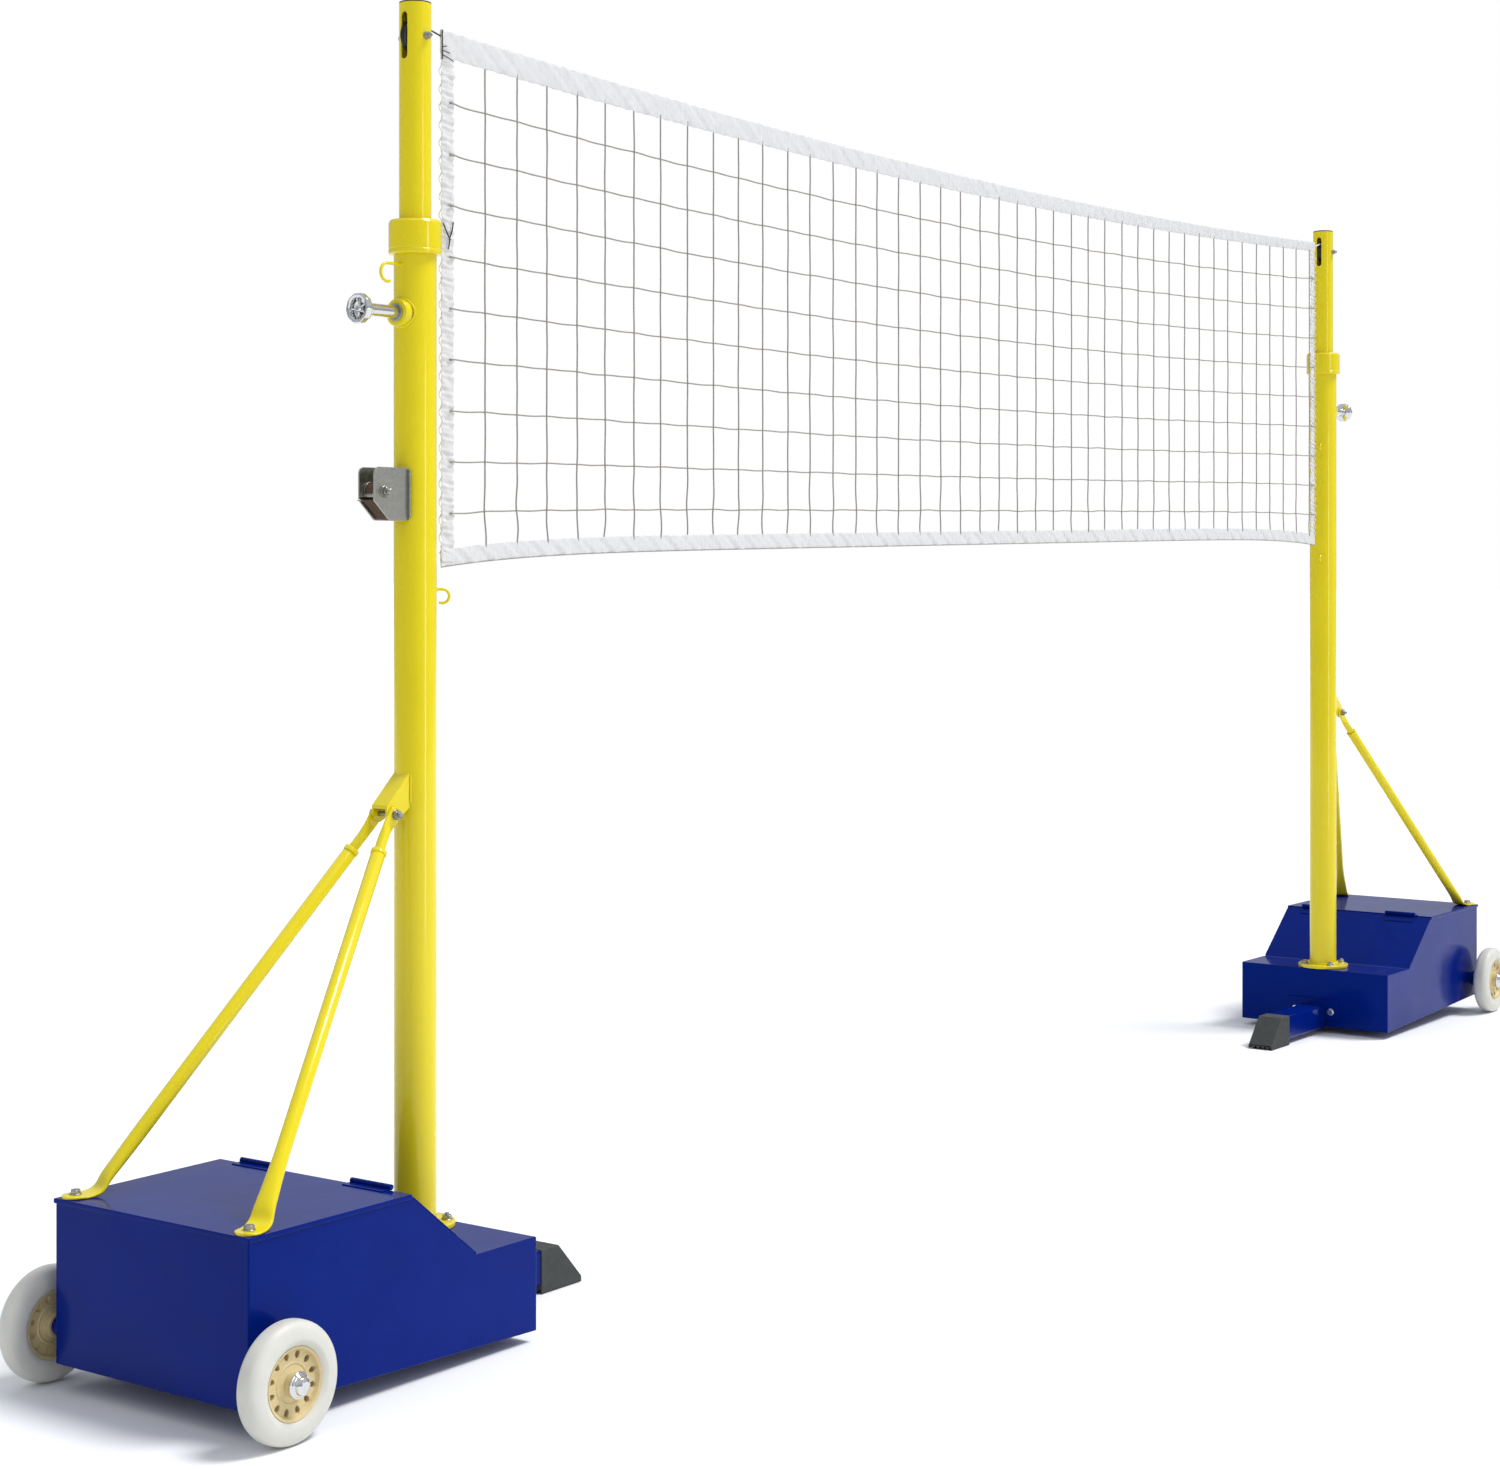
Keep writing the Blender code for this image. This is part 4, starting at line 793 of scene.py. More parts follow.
BRACKET_U, BRACKET_Z, BRACKET_HALF = 0.080, 0.970, 0.0195
STRUT, STRUT_ROD = 0.0135, 0.0095


def section(centre, wide, thick, a, b, power=1.0):
    """A superellipse of half sizes a and b along two directions: a lower power makes it squarer."""
    turn = TURN * np.arange(40) / 40
    c, s = np.cos(turn), np.sin(turn)
    x, y = np.sign(c) * np.abs(c) ** power * a, np.sign(s) * np.abs(s) ** power * b
    return centre + x[:, None] * wide + y[:, None] * thick


def eased(rings, steps):
    """More rows between the given ones: cubic curves through each point of the rings, spaced by distance.

    Between two rows each point is their Hermite blend: the rows and their slopes, weighted by cubics in the
    share t of the way.
    """
    rings = np.array(rings)
    gaps = np.linalg.norm(np.diff(rings.mean(1), axis=0), axis=1)
    knots = np.concatenate([[0], np.cumsum(np.maximum(gaps, 1e-5))])
    slopes = np.gradient(rings, knots, axis=0)
    reach = np.diff(knots)[:, None, None, None]
    t = (np.arange(steps) / steps)[:, None, None]
    first, last = rings[:-1, None], rings[1:, None]
    leaving, arriving = slopes[:-1, None] * reach, slopes[1:, None] * reach
    made = (2 * t**3 - 3 * t**2 + 1) * first + (t**3 - 2 * t**2 + t) * leaving
    made = made + (3 * t**2 - 2 * t**3) * last + (t**3 - t**2) * arriving
    return np.concatenate([made.reshape(-1, *rings.shape[1:]), rings[-1:]])


def strut(name, side, place, across):
    """Brace: a strap foot pressed from the tube's end, the round tube, a narrower rod, and its flat eye."""
    foot = at(side, REAR - BOLT_INSET, across * (HALF_WIDTH - BOLT_INSET), LID_TOP + 0.0028)
    eye = at(side, BRACKET_U, across * (BRACKET_HALF + 0.0033), BRACKET_Z)
    level = unit((eye - foot) * (1, 1, 0))
    beside = np.array([-level[1], level[0], 0])
    heel = foot + level * 0.0528 + Z_AXIS * 0.0228
    slope = unit((foot - eye) * (1, 0, 1))
    neck = eye + slope * 0.0348
    along = unit(neck - heel)
    lift = raised(np.cross(along, beside))
    bend = raised(np.cross(unit(level + along), beside))
    foot_radius, eye_radius = 0.024, 0.0145
    tread = []
    for turn in np.linspace(math.pi / 2 - 0.06, 0, 7):
        back, half = foot - level * foot_radius * math.sin(turn), foot_radius * math.cos(turn)
        tread.append(section(back, beside, Z_AXIS, half, 0.0026, 0.35))
    tread += [
        section(foot + level * 0.022, beside, Z_AXIS, 0.0236, 0.0027, 0.4),
        section(heel - level * 0.012 - Z_AXIS * 0.0165, beside, bend, 0.0222, 0.0042, 0.55),
        section(heel + along * 0.004, beside, lift, 0.0196, 0.0078, 0.8),
        section(heel + along * 0.045, beside, lift, 0.0165, 0.0112, 0.95),
        section(heel + along * 0.100, beside, lift, 0.0137, 0.0133),
        section(heel + along * 0.130, beside, lift, STRUT, STRUT),
    ]
    step = neck - along * 0.010
    tube_end = step - along * 0.0365
    ends = [(-0.001, STRUT), (0, 0.0125), (0, 0.0092)]
    ends = [section(tube_end + along * way, beside, lift, r, r) for way, r in ends]
    lower = np.concatenate([eased(tread, 4), ends])
    collar = [(-0.009, 0.0136), (-0.0085, 0.0146), (-0.001, 0.0146), (0, 0.0136)]
    collar = [section(tube_end + along * way, beside, lift, r, r) for way, r in collar]
    wide = Y_AXIS if beside[1] >= 0 else -Y_AXIS
    eye_lift = np.array([-slope[2] * side, 0, slope[0] * side])
    upper = [
        section(tube_end - along * 0.004, beside, lift, STRUT_ROD, STRUT_ROD),
        section(step - along * 0.004, beside, lift, STRUT_ROD, STRUT_ROD),
        section(eye + slope * 0.0240, wide, eye_lift, 0.0031, 0.0130, 0.5),
        section(eye + slope * 0.0100, wide, eye_lift, 0.0030, 0.0144, 0.4),
    ]
    tip = []
    for turn in np.linspace(0, math.pi / 2 - 0.08, 7):
        ahead, half = eye - slope * eye_radius * math.sin(turn), eye_radius * math.cos(turn)
        tip.append(section(ahead, wide, eye_lift, 0.0030, half, 0.4))
    upper = np.concatenate([eased(upper, 5), tip])
    shapes = [skin(lower), skin(collar), skin(upper)]
    piece(f"strut_tube_{name}_{place}", shapes, [f"strut_{name}_{place}"], sharp=48)


def bracket(name, side):
    """Folded channel under a sloping roof, cut to the post's tube, and the bolt through its cheeks.

    Returns its two weld beads.
    """
    lip, rise, wall, near_post = 0.0165, 0.086, 0.004, 0.024
    corner = lip * 0.71
    outline = [
        (near_post, BRACKET_Z + rise), (BRACKET_U + lip, BRACKET_Z + lip), (BRACKET_U + lip, BRACKET_Z),
        (BRACKET_U + corner, BRACKET_Z - corner), (BRACKET_U, BRACKET_Z - lip),
        (BRACKET_U - corner, BRACKET_Z - corner), (near_post, BRACKET_Z + lip),
    ]
    outline = fillet(outline, (0, 0.004, 0.006, 0.008, 0.008, 0.008, 0), 4)
    body = profile_bar(side, outline, -BRACKET_HALF, BRACKET_HALF)
    high, low = np.array([near_post, BRACKET_Z + rise]), np.array([BRACKET_U + lip, BRACKET_Z + lip])
    roof = unit(low - high)
    drop = np.array([0, wall / roof[0]])
    end, bottom = low + roof * 0.05, BRACKET_Z - 0.06
    hollow = np.array([end - drop, high - drop, (high[0], bottom), (end[0], bottom)])
    hollow = profile_bar(side, hollow, wall - BRACKET_HALF, BRACKET_HALF - wall)
    core = OUTER + 0.0001
    core = turned([(0, 0.90), (core, 0.90), (core, 1.10), (0, 1.10)], at(side, 0, 0, 0))
    piece(f"strut_channel_{name}", [body], [f"strut_bracket_{name}"], bevel=0.0010, cuts=[hollow, core])
    centre = at(side, BRACKET_U, 0, BRACKET_Z)
    cross_bolt(
        f"strut_bolt_{name}", f"bracket_bolt_{name}", centre, 0.0049, (-0.027, 0.0265), 0.0100, 0.0094,
        (0.0262, 0.0014, 0.0276, 0.0352, 0.0068), (0.0264, 0.0014, 0.0278, 0.0340), 0.35,
    )
    beads = []
    z = np.linspace(BRACKET_Z + 0.020, BRACKET_Z + rise - 0.014, 40)
    for across in NEAR_FAR.values():
        y = across * (BRACKET_HALF + 0.0010)
        beads.append(bead(at(side, math.sqrt((OUTER + 0.0004) ** 2 - y**2), y, z), 0.0022, 0.006))
    return beads


# Each hook's bearing in degrees from the direction inwards along the net, its straight and its bend
HOOKS = {
    "upper_left": (180, 0.035, 0.017), "lower_left": (45, 0.010, 0.013),
    "upper_right": (15, 0.007, 0.008), "lower_right": (15, 0.007, 0.008),
}
HOOK_BAR = 0.003


def hook(level, name, side):
    """Bent bar for a tie: straight out of the post, then an arc of 210 degrees downwards, with round ends."""
    bearing, straight, bend = HOOKS[f"{level}_{name}"]
    node = f"{level}_hook_{name}"
    height = span(node)[1][2] - HOOK_BAR
    turn = math.radians(bearing)
    out = np.array([-side * math.cos(turn), -math.sin(turn), 0])
    root = at(side, 0, 0, height) + out * (OUTER + 0.0003)
    arc = np.radians(np.linspace(90, -120, 36))
    along, down = straight + bend * np.cos(arc), bend * (np.sin(arc) - 1)
    curve = root + out * along[:, None] + Z_AXIS * down[:, None]
    path = [root - out * 0.001, root + out * straight * 0.5, *curve]
    radius = np.full(len(path), HOOK_BAR)
    radius[-3:] = (0.0029, 0.0024, 0.0012)
    base = turned([(0, -0.001), (0.0056, -0.001), (0.0044, 0.0016), (0, 0.0022)], root, out, steps=20)
    piece(f"tie_hook_{level}_{name}", [swept(path, radius, sides=14), base], [node])


# Front feet

ARM_HALF, ARM_LOW, ARM_HIGH, ARM_END = 0.035, 0.016, 0.086, FRONT - 0.250
ARM_PLATE, ARM_PLATE_THICK = FRONT - 0.0003, 0.005
BOOT_HALF, BOOT_TOP, BOOT_TEETH, TOOTH = 0.0375, 0.087, 5, 0.0105


def arm_outline(side, u, grown, radius):
    """The arm's square section, grown all round by that much and with its corners rounded."""
    half, low, high = ARM_HALF + grown, ARM_LOW - grown, ARM_HIGH + grown
    outline = fillet([(-half, low), (half, low), (half, high), (-half, high)], radius, 5)
    return at(side, u, outline[:, 0], outline[:, 1])


def foot_arm(name, side):
    """Square tube on its bolted plate, with a weld bead and two weld spots at its root."""
    root = ARM_PLATE - 0.003
    tube = prism(arm_outline(side, root, 0, 0.007), side * (ARM_END - root) * X_AXIS)
    foot_plate = block(side, (ARM_PLATE - ARM_PLATE_THICK, ARM_PLATE), (-0.081, 0.081), (0.043, 0.104))
    piece(f"foot_tube_{name}", [foot_plate, tube], [f"foot_arm_{name}"], bevel=0.0009)
    seam = arm_outline(side, ARM_PLATE - 0.0060, 0.001, 0.008)
    share = np.linspace(0, len(seam), 161)[:-1]
    seam = np.vstack([seam, seam[:1]])
    seam = np.stack([np.interp(share, np.arange(len(seam)), column) for column in seam.T], axis=-1)
    weld = [ring_weld(seam, 0.0024, 40, 0.2)]
    for y in (-0.018, 0.018):
        spot = [(0, 0.0028), (0.0026, 0.0020), (0.0042, -0.001), (0, -0.001)]
        weld.append(turned(spot, at(side, ARM_PLATE - 0.012, y, ARM_HIGH), Z_AXIS, steps=20))
    fixed(f"foot_weld_{name}", weld, "blue_powder_coat", sharp=60)
    heads = []
    for y in (-0.058, 0.058):
        seat = at(side, ARM_PLATE - ARM_PLATE_THICK, y, 0.0665)
        heads.append(screw_head(seat, -side * X_AXIS, M10, phase=y * 9))
    fixed(f"foot_bolts_{name}", heads, "chromed_steel")


def boot(name, side):
    """Rubber wedge on the arm's end: four sections, each a toothed sole under a top, and a plug."""
    back, front, tip, corner = ARM_END - 0.0003, ARM_END - 0.0523, ARM_END - 0.1223, 0.002
    points = 2 * BOOT_TEETH + 1
    y = np.linspace(-BOOT_HALF, BOOT_HALF, points)
    sole = np.where(np.arange(points) % 2, TOOTH, 0.0)
    top_y = np.array([BOOT_HALF, BOOT_HALF - corner, corner - BOOT_HALF, -BOOT_HALF])
    rows = []
    for u, high in ((back, BOOT_TOP), (front, BOOT_TOP), (front - 0.003, 0.0845), (tip, 0.0125)):
        top_z = high - corner * np.array([1, 0, 0, 1])
        rows.append(at(side, u, np.concatenate([y, top_y]), np.concatenate([sole, top_z])))
    plug = block(side, (back, back + 0.025), (-0.0315, 0.0315), (0.0195, 0.0825))
    piece(f"rubber_wedge_{name}", [skin(rows), plug], [f"rubber_foot_{name}"], bevel=0.0012)


# Net

LEFT_END, RIGHT_END = float(span("top_band")[0][0]), float(span("top_band")[1][0])
NET_TOP_LEFT, NET_TOP_RIGHT, SAG = 2.445, 2.412, 0.048
BOTTOM_LEFT, BOTTOM_RIGHT, BOW = 1.426, 1.486, 0.023
BAND_LEFT, BAND_RIGHT, BOTTOM_BAND, TOP_BAND = 0.051, 0.028, 0.033, 0.040
TAPES = {"left": (LEFT_END, 1, 0.036), "right": (RIGHT_END, -1, 0.030)}
TWINE, TWINE_SIDES = 0.0016, 6
UPRIGHTS, FIRST_UPRIGHT, LAST_UPRIGHT = 42, -1.830, 1.925
LEVELS = 9
LEVELS_LEFT, LEVELS_RIGHT = np.linspace(2.309, 1.527, LEVELS), np.linspace(2.299, 1.578, LEVELS)
NET_BODY = BODY_OF["net_mesh"]


def share_along(x):
    """Share of the way from the net's left end to its right one."""
    return (x - LEFT_END) / (RIGHT_END - LEFT_END)


def hang(t):
    """A parabola, 0 at both ends of the net and 1 halfway."""
    return 1 - (2 * t - 1) ** 2


def flat_bow(t):
    """A bow, 0 at both ends of the net and nearly 1 all the way between."""
    return 1 - np.abs(2 * t - 1) ** 8


def top_edge(x):
    """Upper edge: a line between its ends, less a parabola's sag."""
    t = share_along(x)
    return NET_TOP_LEFT + (NET_TOP_RIGHT - NET_TOP_LEFT) * t - SAG * hang(t)


def band_foot(x):
    """Lower edge of the top band, which narrows to the right."""
    return top_edge(x) - BAND_LEFT - (BAND_RIGHT - BAND_LEFT) * share_along(x)


def bottom_edge(x):
    """Lower edge: a line between its ends, raised between them by a flat-topped bow."""
    t = share_along(x)
    return BOTTOM_LEFT + (BOTTOM_RIGHT - BOTTOM_LEFT) * t + BOW * flat_bow(t)


def level_height(k, x):
    """Height of level cord k: it follows the top's sag less and less, and its ends dip near the foot."""
    t, down = share_along(x), k / (LEVELS - 1)
    line = LEVELS_LEFT[k] + (LEVELS_RIGHT[k] - LEVELS_LEFT[k]) * t
    return line - SAG * hang(t) * (1 - down) ** 0.8 + 0.010 * flat_bow(t) * down**2


def waves(rng, along, lengths):
    """A sum of sines of those wavelengths with seeded phases and weights, kept within one."""
    total = np.zeros_like(along)
    for length in lengths:
        weight = rng.uniform(0.6, 1.0)
        total += weight * np.sin(TURN * along / (length * rng.uniform(0.85, 1.15)) + rng.uniform(0, TURN))
    return total / len(lengths)


def cloth_strip(name, rng, along, edges, place, depths):
    """A folded tape: each station along it is a flattened loop, creased on slanted and upright waves.

    edges are its two edges at each station, and place turns (along, across, offset) into points. depths are
    the half thickness, the depth of slanted folds and that of upright gathers, each along the tape.
    """
    layers, crease, pleat = (np.broadcast_to(depth, along.shape)[:, None] for depth in depths)
    start, width = edges[0][:, None], (edges[1] - edges[0])[:, None]
    turn = TURN * np.arange(28) / 28
    depth = np.sign(np.sin(turn)) * np.abs(np.sin(turn)) ** 0.55
    s, t = np.meshgrid(along, 0.5 + 0.5 * np.cos(turn), indexing="ij")
    across = start + width * t
    slant = waves(rng, s + (across - start) * 1.35, (0.055, 0.034, 0.085))
    fold = waves(rng, s - (across - start) * 0.8, (0.042, 0.120))
    gather = waves(rng, s + 0.15 * across, (0.0105, 0.0155))
    ridge = np.sign(slant) * np.abs(slant) ** 1.5
    offset = layers * depth * (0.75 + 0.25 * waves(rng, s, (0.05, 0.02)))
    offset = offset + crease * (ridge * 1.4 + 0.6 * fold * depth) + pleat * gather
    wobble = width * 0.035 * waves(rng, s, (0.03, 0.011)) * (t - 0.5) * 2
    made = piece(name, [skin(place(s, across + wobble, offset))], slot="white_band", body=NET_BODY, sharp=180)
    return made


def level_place(along, across, offset):
    """A band's points: it runs along X with its width up Z."""
    return np.stack([along, offset, across], axis=-1)


def upright_place(along, across, offset):
    """A side tape's points: it runs up Z with its width along X."""
    return np.stack([across, offset, along], axis=-1)


def bands(rng):
    """The folded bands along the net's top and foot, and the gathered tapes down its ends."""
    x = np.linspace(LEFT_END, RIGHT_END, 900)
    t, length = share_along(x), round(RIGHT_END - LEFT_END, 3)
    top = cloth_strip(
        "head_band", rng, x, (band_foot(x), top_edge(x)), level_place,
        (0.0022 + 0.0004 * t, 0.0026 * (1 - 0.6 * t), 0.0003 + 0.0022 * t**1.3),
    )
    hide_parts("top_band")
    foot = cloth_strip(
        "foot_band", rng, x, (bottom_edge(x), bottom_edge(x) + BOTTOM_BAND), level_place,
        (0.0018, 0.0016, 0.0005 + 0.0010 * t),
    )
    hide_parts("bottom_band")
    for name, (edge, way, width) in TAPES.items():
        start, end = float(bottom_edge(edge)) + 0.010, float(band_foot(edge)) + 0.012
        z = np.linspace(start, end, 420)
        inner = edge + way * width * (1 + 0.10 * waves(rng, z, (0.021, 0.045)))
        outer = edge + way * 0.0015 * (1 + waves(rng, z, (0.017, 0.030)))
        cloth_strip(
            f"side_tape_{name}", rng, z, (outer, inner), upright_place, (0.0014, 0.0018, 0.0016),
        )


def twine(path, across, beside):
    """A run of twine: a hexagon in the plane of two directions, carried along a path."""
    turn = (TURN * np.arange(TWINE_SIDES) / TWINE_SIDES)[:, None]
    circle = TWINE * (np.cos(turn) * across + np.sin(turn) * beside)
    return skin(np.stack(path, axis=-1)[:, None] + circle)


def knot(radius, half, spot, axis, steps):
    """A knot: a faceted bulb about its axis, four fifths as wide halfway to its ends."""
    shoulder = 0.83 * radius
    profile = [(0, -half), (shoulder, -0.54 * half), (radius, 0), (shoulder, 0.54 * half), (0, half)]
    return turned(profile, spot, axis, steps=steps)


def twine_mesh(rng):
    """Twine mesh with its knots, and the cord in its hem.

    Uprights hang in long waves that grow near the foot. Levels pass just before them, pulled into a
    scallop between the first uprights, and swing back to the tapes at their ends.
    """
    xs = np.linspace(FIRST_UPRIGHT, LAST_UPRIGHT, UPRIGHTS)
    xs = xs + rng.uniform(-0.003, 0.003, UPRIGHTS)
    runs, knots = [], []
    for where in xs:
        z = np.linspace(float(bottom_edge(where)) + 0.026, float(band_foot(where)) + 0.008, 90)
        slack = 0.0004 + 0.0032 * np.clip((1.66 - z) / 0.20, 0, 1)
        x = where + slack * waves(rng, z, (0.19, 0.097)) * 1.6
        y = 0.0006 * waves(rng, z, (0.35, 0.21))
        runs.append(twine((x, y, z), X_AXIS, Y_AXIS))
        for k in range(LEVELS):
            height = float(level_height(k, where))
            knots.append(knot(0.0023, 0.0026, (np.interp(height, z, x), 0, height), (0.5, 0.1, 1.0), 6))
    inner_left, inner_right = LEFT_END + 0.020, RIGHT_END - 0.018
    for k in range(LEVELS):
        x = np.linspace(inner_left, inner_right, 420)
        pull = 0.00048 * np.cos(TURN * (x - xs[0]) / (xs[1] - xs[0]))
        z = level_height(k, x) + 0.0012 * waves(rng, x, (0.31, 0.19)) + pull
        reach = np.clip(1 - np.minimum(x - inner_left, inner_right - x) / 0.030, 0, 1)
        y = 0.0013 + 0.0004 * waves(rng, x, (0.4, 0.23)) - 0.0062 * reach**0.5
        runs.append(twine((x, y, z), Y_AXIS, Z_AXIS))
        for end in (inner_left + 0.004, inner_right - 0.003):
            knots.append(knot(0.0027, 0.003, (end, -0.0050, float(level_height(k, end))), (1.0, 0.2, 0.3), 8))
    piece("net_twine", [*runs, *knots], ["net_mesh"], sharp=80)
    x = np.linspace(LEFT_END + 0.001, RIGHT_END - 0.001, 300)
    hem = np.stack([x, np.full_like(x, -0.0008), bottom_edge(x) + 0.0004], axis=-1)
    piece("hem_cord", [swept(hem, 0.0012, sides=8)], slot="net_cord", body=NET_BODY)


def stitch(start, end, bow, dip, radius):
    """A short stitch before the net, from and to (distance from its left end, height).

    It bows towards the near side and dips, both by half a sine wave along it.
    """
    s = np.linspace(0, 1, 16)
    x = LEFT_END + start[0] + (end[0] - start[0]) * s
    z = start[1] + (end[1] - start[1]) * s - dip * np.sin(math.pi * s)
    return swept(np.stack([x, bow[0] - bow[1] * np.sin(math.pi * s), z], axis=-1), radius, sides=8)


def edge_lacing(name, x, low, high, count, pitch, swing, radius):
    """White lacing wound round a side tape's outer edge: a helix, x by the sine and y by the cosine."""
    z = np.linspace(low, high, count)
    turn = (z - low) / pitch * TURN
    line = np.stack([x + swing[0] * np.sin(turn), swing[1] * np.cos(turn), z], axis=-1)
    piece(f"edge_lacing_{name}", [swept(line, radius, sides=6)], slot="white_band", body=NET_BODY)


def lacing():
    """Black stitches at the top left corner, the tie's short tails below, and the lacing down both ends."""
    z = np.linspace(2.388, 2.4445, 24)
    edge = np.stack([LEFT_END + 0.0005 + 0.0006 * np.sin(z * 420), np.full_like(z, -0.0040), z], axis=-1)
    stitches = [swept(edge, 0.0011, sides=8)]
    for height, reach, tilt in ((2.405, 0.020, -0.003), (2.397, 0.030, -0.009), (2.412, 0.012, 0.003)):
        stitches.append(stitch((0.001, height), (0.001 + reach, height + tilt), (-0.0045, 0.0012), 0, 0.0009))
    tails = (
        ((0.002, 2.078), (0.022, 2.048), 0.004), ((0.030, 2.082), (0.020, 2.052), 0.003),
        ((0.020, 2.050), (0.016, 2.030), 0.001),
    )
    for start, end, dip in tails:
        stitches.append(stitch(start, end, (-0.0048, dip * 0.3), dip, 0.0013))
    piece("corner_lacing", stitches, slot="black_plastic", body=NET_BODY, material=LACING)
    edge_lacing("right", RIGHT_END + 0.0005, 1.512, 2.372, 900, 0.021, (0.0042, 0.0032), 0.0012)
    edge_lacing("left", LEFT_END - 0.0002, 1.452, 2.385, 700, 0.034, (0.0030, 0.0030), 0.0010)


def head_cable(name, side):
    """Cable from the net's corner over the pulley: a straight run, then an arc round the groove."""
    middle = sum(span(f"pulley_{name}")) / 2
    corner_x, radius, slot, material = {
        -1: (LEFT_END, 0.0016, "zinc_plated_steel", LACING), 1: (RIGHT_END, 0.0024, "white_band", None),
    }[side]
    corner = np.array([corner_x + side * 0.0006, 0, float(top_edge(corner_x)) - 0.0125])
    lap, arc = 0.0298, np.radians(np.linspace(-20, 70, 28))
    curve = middle + lap * np.stack([side * np.sin(arc), 0 * arc, np.cos(arc)], axis=-1)
    run = corner + (curve[0] - corner) * np.linspace(0, 1, 10)[:-1, None]
    cable = swept(np.concatenate([run, curve]), radius, sides=12)
    piece(f"corner_line_{name}", [cable], [f"head_cable_{name}"], slot=slot, material=material)


# Winch

WINCH_ROOT, WINCH_REACH, CHEEK = OUTER + 0.0003, 0.131, 0.003


def winch_channel(side, bottom, top):
    """Two cheeks with a cut lower corner, the back and a flange between them, and weld spots beside it."""
    outline = [
        (WINCH_ROOT, bottom), (WINCH_REACH - 0.040, bottom), (WINCH_REACH, bottom + 0.036),
        (WINCH_REACH, top), (WINCH_ROOT, top),
    ]
    outline = fillet(outline, (0.002, 0.006, 0.008, 0.012, 0.006), 5)
    sheets = [profile_bar(side, outline, y, y + CHEEK) for y in (-0.0205, 0.0175)]
    sheets.append(block(side, (WINCH_ROOT, WINCH_ROOT + CHEEK), (-0.0205, 0.0205), (bottom, top)))
    flange = (WINCH_ROOT, WINCH_ROOT + 0.0026), (-0.0262, -0.0200), (bottom + 0.004, top - 0.004)
    piece("winch_channel", [*sheets, block(side, *flange)], ["winch_bracket"], bevel=0.0006)
    profile = [(0, 0.0022), (0.0030, 0.0012), (0.0042, -0.001), (0, -0.001)]
    spots = []
    for z in (bottom + 0.012, bottom + 0.034, bottom + 0.060, top - 0.012):
        root = at(side, WINCH_ROOT - 0.0005, -0.0225, z)
        spots.append(turned(profile, root, (-0.5, -0.8, 0), steps=16))
    fixed("winch_welds", spots, "zinc_plated_steel")


def winch_drum(middle):
    """Flanged drum with a toothed ratchet wheel, and webbing wound on it in a spiral of 2.3 turns."""
    half, bore, core, flange, thick = 0.0163, 0.0063, 0.013, 0.019, 0.002
    profile = [
        (bore, -half), (flange, -half), (flange, thick - half), (core, thick - half), (core, half - thick),
        (flange, half - thick), (flange, half), (bore, half),
    ]
    drum = turned(fillet(profile, 0.0006, 3), middle, Y_AXIS, loop=True)
    ratchet = [(bore, 0), (0.0150, 0), (0.0150, 0.003), (bore, 0.003)]
    ratchet = turned(ratchet, middle + Y_AXIS * 0.010, Y_AXIS, steps=72, loop=True, lobes=12, depth=0.10)
    piece("winch_drum_flanges", [drum, ratchet], ["winch_spool"])
    turn = np.linspace(0, TURN * 2.3, 200)
    radius = 0.0135 + 0.00185 * turn / TURN
    out = np.stack([np.cos(turn), 0 * turn, np.sin(turn)], axis=-1)
    corners = ((-0.0125, 0), (0.0125, 0), (0.0125, 0.0012), (-0.0125, 0.0012))
    rows = middle + np.stack([(radius + up)[:, None] * out + wide * Y_AXIS for wide, up in corners], axis=1)
    piece("winch_strap", [skin(rows)], slot="black_plastic", body="winch_drum", material=STRAP)


def winch():
    """Galvanised channel on the left post with its drum of strap, shaft, pawl pin and a folded web below."""
    side = SIDES["left"]
    low, high = span("winch_bracket")
    winch_channel(side, float(low[2]), float(high[2]))
    middle = sum(span("winch_spool")) / 2
    winch_drum(middle)
    cross_bolt(
        "winch_shaft_bolt", "winch_shaft", middle, 0.0059, (-0.0210, 0.0210), 0.0118, 0.0112,
        (0.0207, 0.0016, 0.0223, 0.0298, 0.0068), (0.0207, 0.0014, 0.0221, 0.0276), 0.15,
    )
    pin = fillet([(0, -0.0172), (0.0040, -0.0172), (0.0040, 0.0172), (0, 0.0172)], 0.0006, 2, closed=False)
    pin = turned(pin, at(side, 0.1195, 0, 1.5580), Y_AXIS, steps=24)
    tip = at(side, (0.1190, 0.1300, 0.1370, 0.1385), 0.0150, (1.5500, 1.5495, 1.5490, 1.5490))
    tip = swept(tip, (0.0017, 0.0017, 0.0016, 0.0008), sides=10)
    fixed("winch_pin", [pin, tip], "zinc_plated_steel")
    share = np.linspace(0, 1, 40)[:, None]
    u, z = 0.1265 - 0.0400 * share - 0.0030 * np.sin(math.pi * share), 1.5490 - 0.0335 * share
    across = np.linspace(-0.0165, 0.0165, 34)
    lift = np.concatenate([0.0007 * np.cos(TURN * across / 0.0055), np.full_like(across, 0.0020)])
    rows = at(side, u - 0.6 * lift, np.concatenate([across, across[::-1]]), z + 0.8 * lift)
    fixed("winch_web", [skin(rows)], "black_plastic", material=STRAP)


